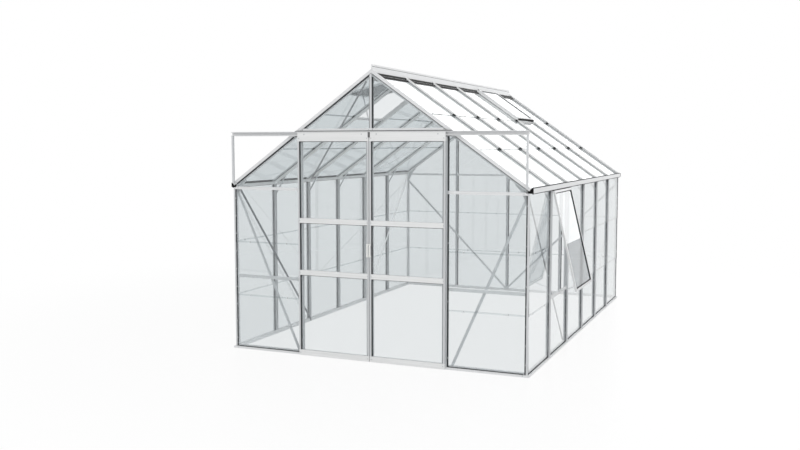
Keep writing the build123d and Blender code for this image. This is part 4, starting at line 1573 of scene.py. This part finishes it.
# Studio
@dataclass
class Studio:
    """Camera at the photograph's angle, white surroundings, a pale floor and soft light."""

    eye: Point = (2.9359, -6.3352, 1.7054)
    forward: Point = (-0.39055, 0.91622, -0.08946)
    lens_mm: float = 40.474
    sensor_mm: float = 36.0
    floor_paint: Finish = Finish("pale_floor", "F4F4F4", 0.3)
    floor_half: float = 60.0
    floor_middle: Point = (0.0, 1.866, 0.0)
    floor_white: Pair = (0.90, 1.0)
    floor_reach: Pair = (2.4, 6.0)
    sky: float = 0.62
    key_watts: float = 380.0
    key_size: Pair = (5.0, 5.0)
    key_place: Point = (5.0, -7.0, 8.0)
    card_watts: float = 370.0
    card_size: Pair = (11.0, 7.2)
    card_place: Point = (0.6, 15.0, 4.35)

    def camera(self) -> None:
        """Place the camera, without roll, and make it the scene's."""
        data = bpy.data.cameras.new("camera")
        data.lens = self.lens_mm
        data.sensor_width = self.sensor_mm
        camera = bpy.data.objects.new("camera", data)
        camera.location = self.eye
        camera.rotation_euler = Vector(self.forward).to_track_quat("-Z", "Y").to_euler()
        bpy.context.scene.collection.objects.link(camera)
        bpy.context.scene.camera = camera

    def seen(self, tree: bpy.types.NodeTree) -> bpy.types.Node:
        """Find the rays that show a background: from the camera, in a gloss or through glass.

        Args:
            tree: Node tree that takes the nodes.

        Returns:
            A node whose output is 1 for such rays.
        """
        path = add_node(tree, "LightPath").outputs
        direct = {0: path["Is Camera Ray"], 1: path["Is Glossy Ray"]}
        either = {0: add_node(tree, "Math", direct, operation="MAXIMUM"), 1: path["Is Transmission Ray"]}
        return add_node(tree, "Math", either, operation="MAXIMUM")

    def world(self) -> None:
        """White where it is seen, and a softer white where it lights."""
        world = bpy.data.worlds.new("studio")
        world.use_nodes = True
        tree = world.node_tree
        tree.nodes.clear()
        light, white = (
            add_node(tree, "Background", {"Color": linear("FFFFFF"), "Strength": strength})
            for strength in (self.sky, 1.0)
        )
        mixed = add_node(tree, "MixShader", {0: self.seen(tree), 1: light, 2: white})
        add_node(tree, "OutputWorld", {"Surface": mixed})
        bpy.context.scene.world = world

    def floor_material(self) -> bpy.types.Material:
        """Pale paint that turns to white, where it is seen, with the distance from the house.

        Returns:
            The material.
        """
        material, tree, paint = self.floor_paint.start()
        white = add_node(tree, "Emission", {"Color": linear("FFFFFF"), "Strength": 1.0})
        place = add_node(tree, "TexCoord").outputs["Object"]
        ends = {0: place, 1: self.floor_middle}
        away = add_node(tree, "VectorMath", ends, operation="DISTANCE").outputs["Value"]
        limits = zip(("From Min", "From Max", "To Min", "To Max"), self.floor_reach + self.floor_white)
        fade = add_node(tree, "MapRange", {"Value": away, **dict(limits)}, interpolation_type="SMOOTHSTEP")
        share = add_node(tree, "Math", {0: self.seen(tree), 1: fade}, operation="MULTIPLY")
        mixed = add_node(tree, "MixShader", {0: share, 1: paint, 2: white})
        feed(tree.nodes[OUTPUT], {"Surface": mixed})
        return material

    def floor(self) -> None:
        """Pale floor that keeps a soft shadow close to the house."""
        half = self.floor_half
        corners = ((-half, -half, 0.0), (half, -half, 0.0), (half, half, 0.0), (-half, half, 0.0))
        mesh = bpy.data.meshes.new("floor")
        mesh.from_pydata(corners, [], [(0, 1, 2, 3)])
        mesh.materials.append(self.floor_material())
        floor = bpy.data.objects.new("floor", mesh)
        bpy.context.scene.collection.objects.link(floor)

    def lamp(self, name: str, place: Point, watts: float, size: Pair) -> bpy.types.Object:
        """Hang a broad soft lamp that looks at the house.

        Args:
            name: Name of the lamp.
            place: Where it hangs.
            watts: Its power.
            size: Its width and height.

        Returns:
            The lamp.
        """
        data = bpy.data.lights.new(name, "AREA")
        data.energy = watts
        data.shape = "RECTANGLE"
        data.size, data.size_y = size
        lamp = bpy.data.objects.new(name, data)
        lamp.location = place
        aim = Vector(self.floor_middle) - Vector(place)
        lamp.rotation_euler = aim.to_track_quat("-Z", "Y").to_euler()
        bpy.context.scene.collection.objects.link(lamp)
        return lamp

    def lamps(self) -> None:
        """Key light over the viewer's right shoulder, and a pale card behind that only gloss shows."""
        key = self.lamp("key", self.key_place, self.key_watts, self.key_size)
        key.visible_glossy = False
        card = self.lamp("card", self.card_place, self.card_watts, self.card_size)
        card.visible_camera = False
        card.visible_diffuse = False
        card.visible_transmission = False

    def build(self) -> None:
        """Set up the whole studio."""
        bpy.context.scene.view_settings.view_transform = "Standard"
        self.camera()
        self.world()
        self.floor()
        self.lamps()


def main() -> None:
    """Load the frame, dress it, build the new pieces and set up the studio."""
    logging.basicConfig(level=logging.INFO, format="%(message)s")
    for item in list(bpy.data.objects):
        bpy.data.objects.remove(item)
    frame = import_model()
    house = House.measured()
    palette = Palette()
    FrameDresser(frame["nodes"], house).dress(palette)
    glazing = Glazing(house)
    for assembly in (glazing, RoofTrim(house, glazing), Sashes(house, glazing), Fixings(house)):
        assembly.build(palette)
    for name, sign in (("left_door", -1), ("right_door", 1)):
        DoorLeaf(name, sign, house).build(palette)
    Studio().build()


if __name__ == "__main__":
    main()
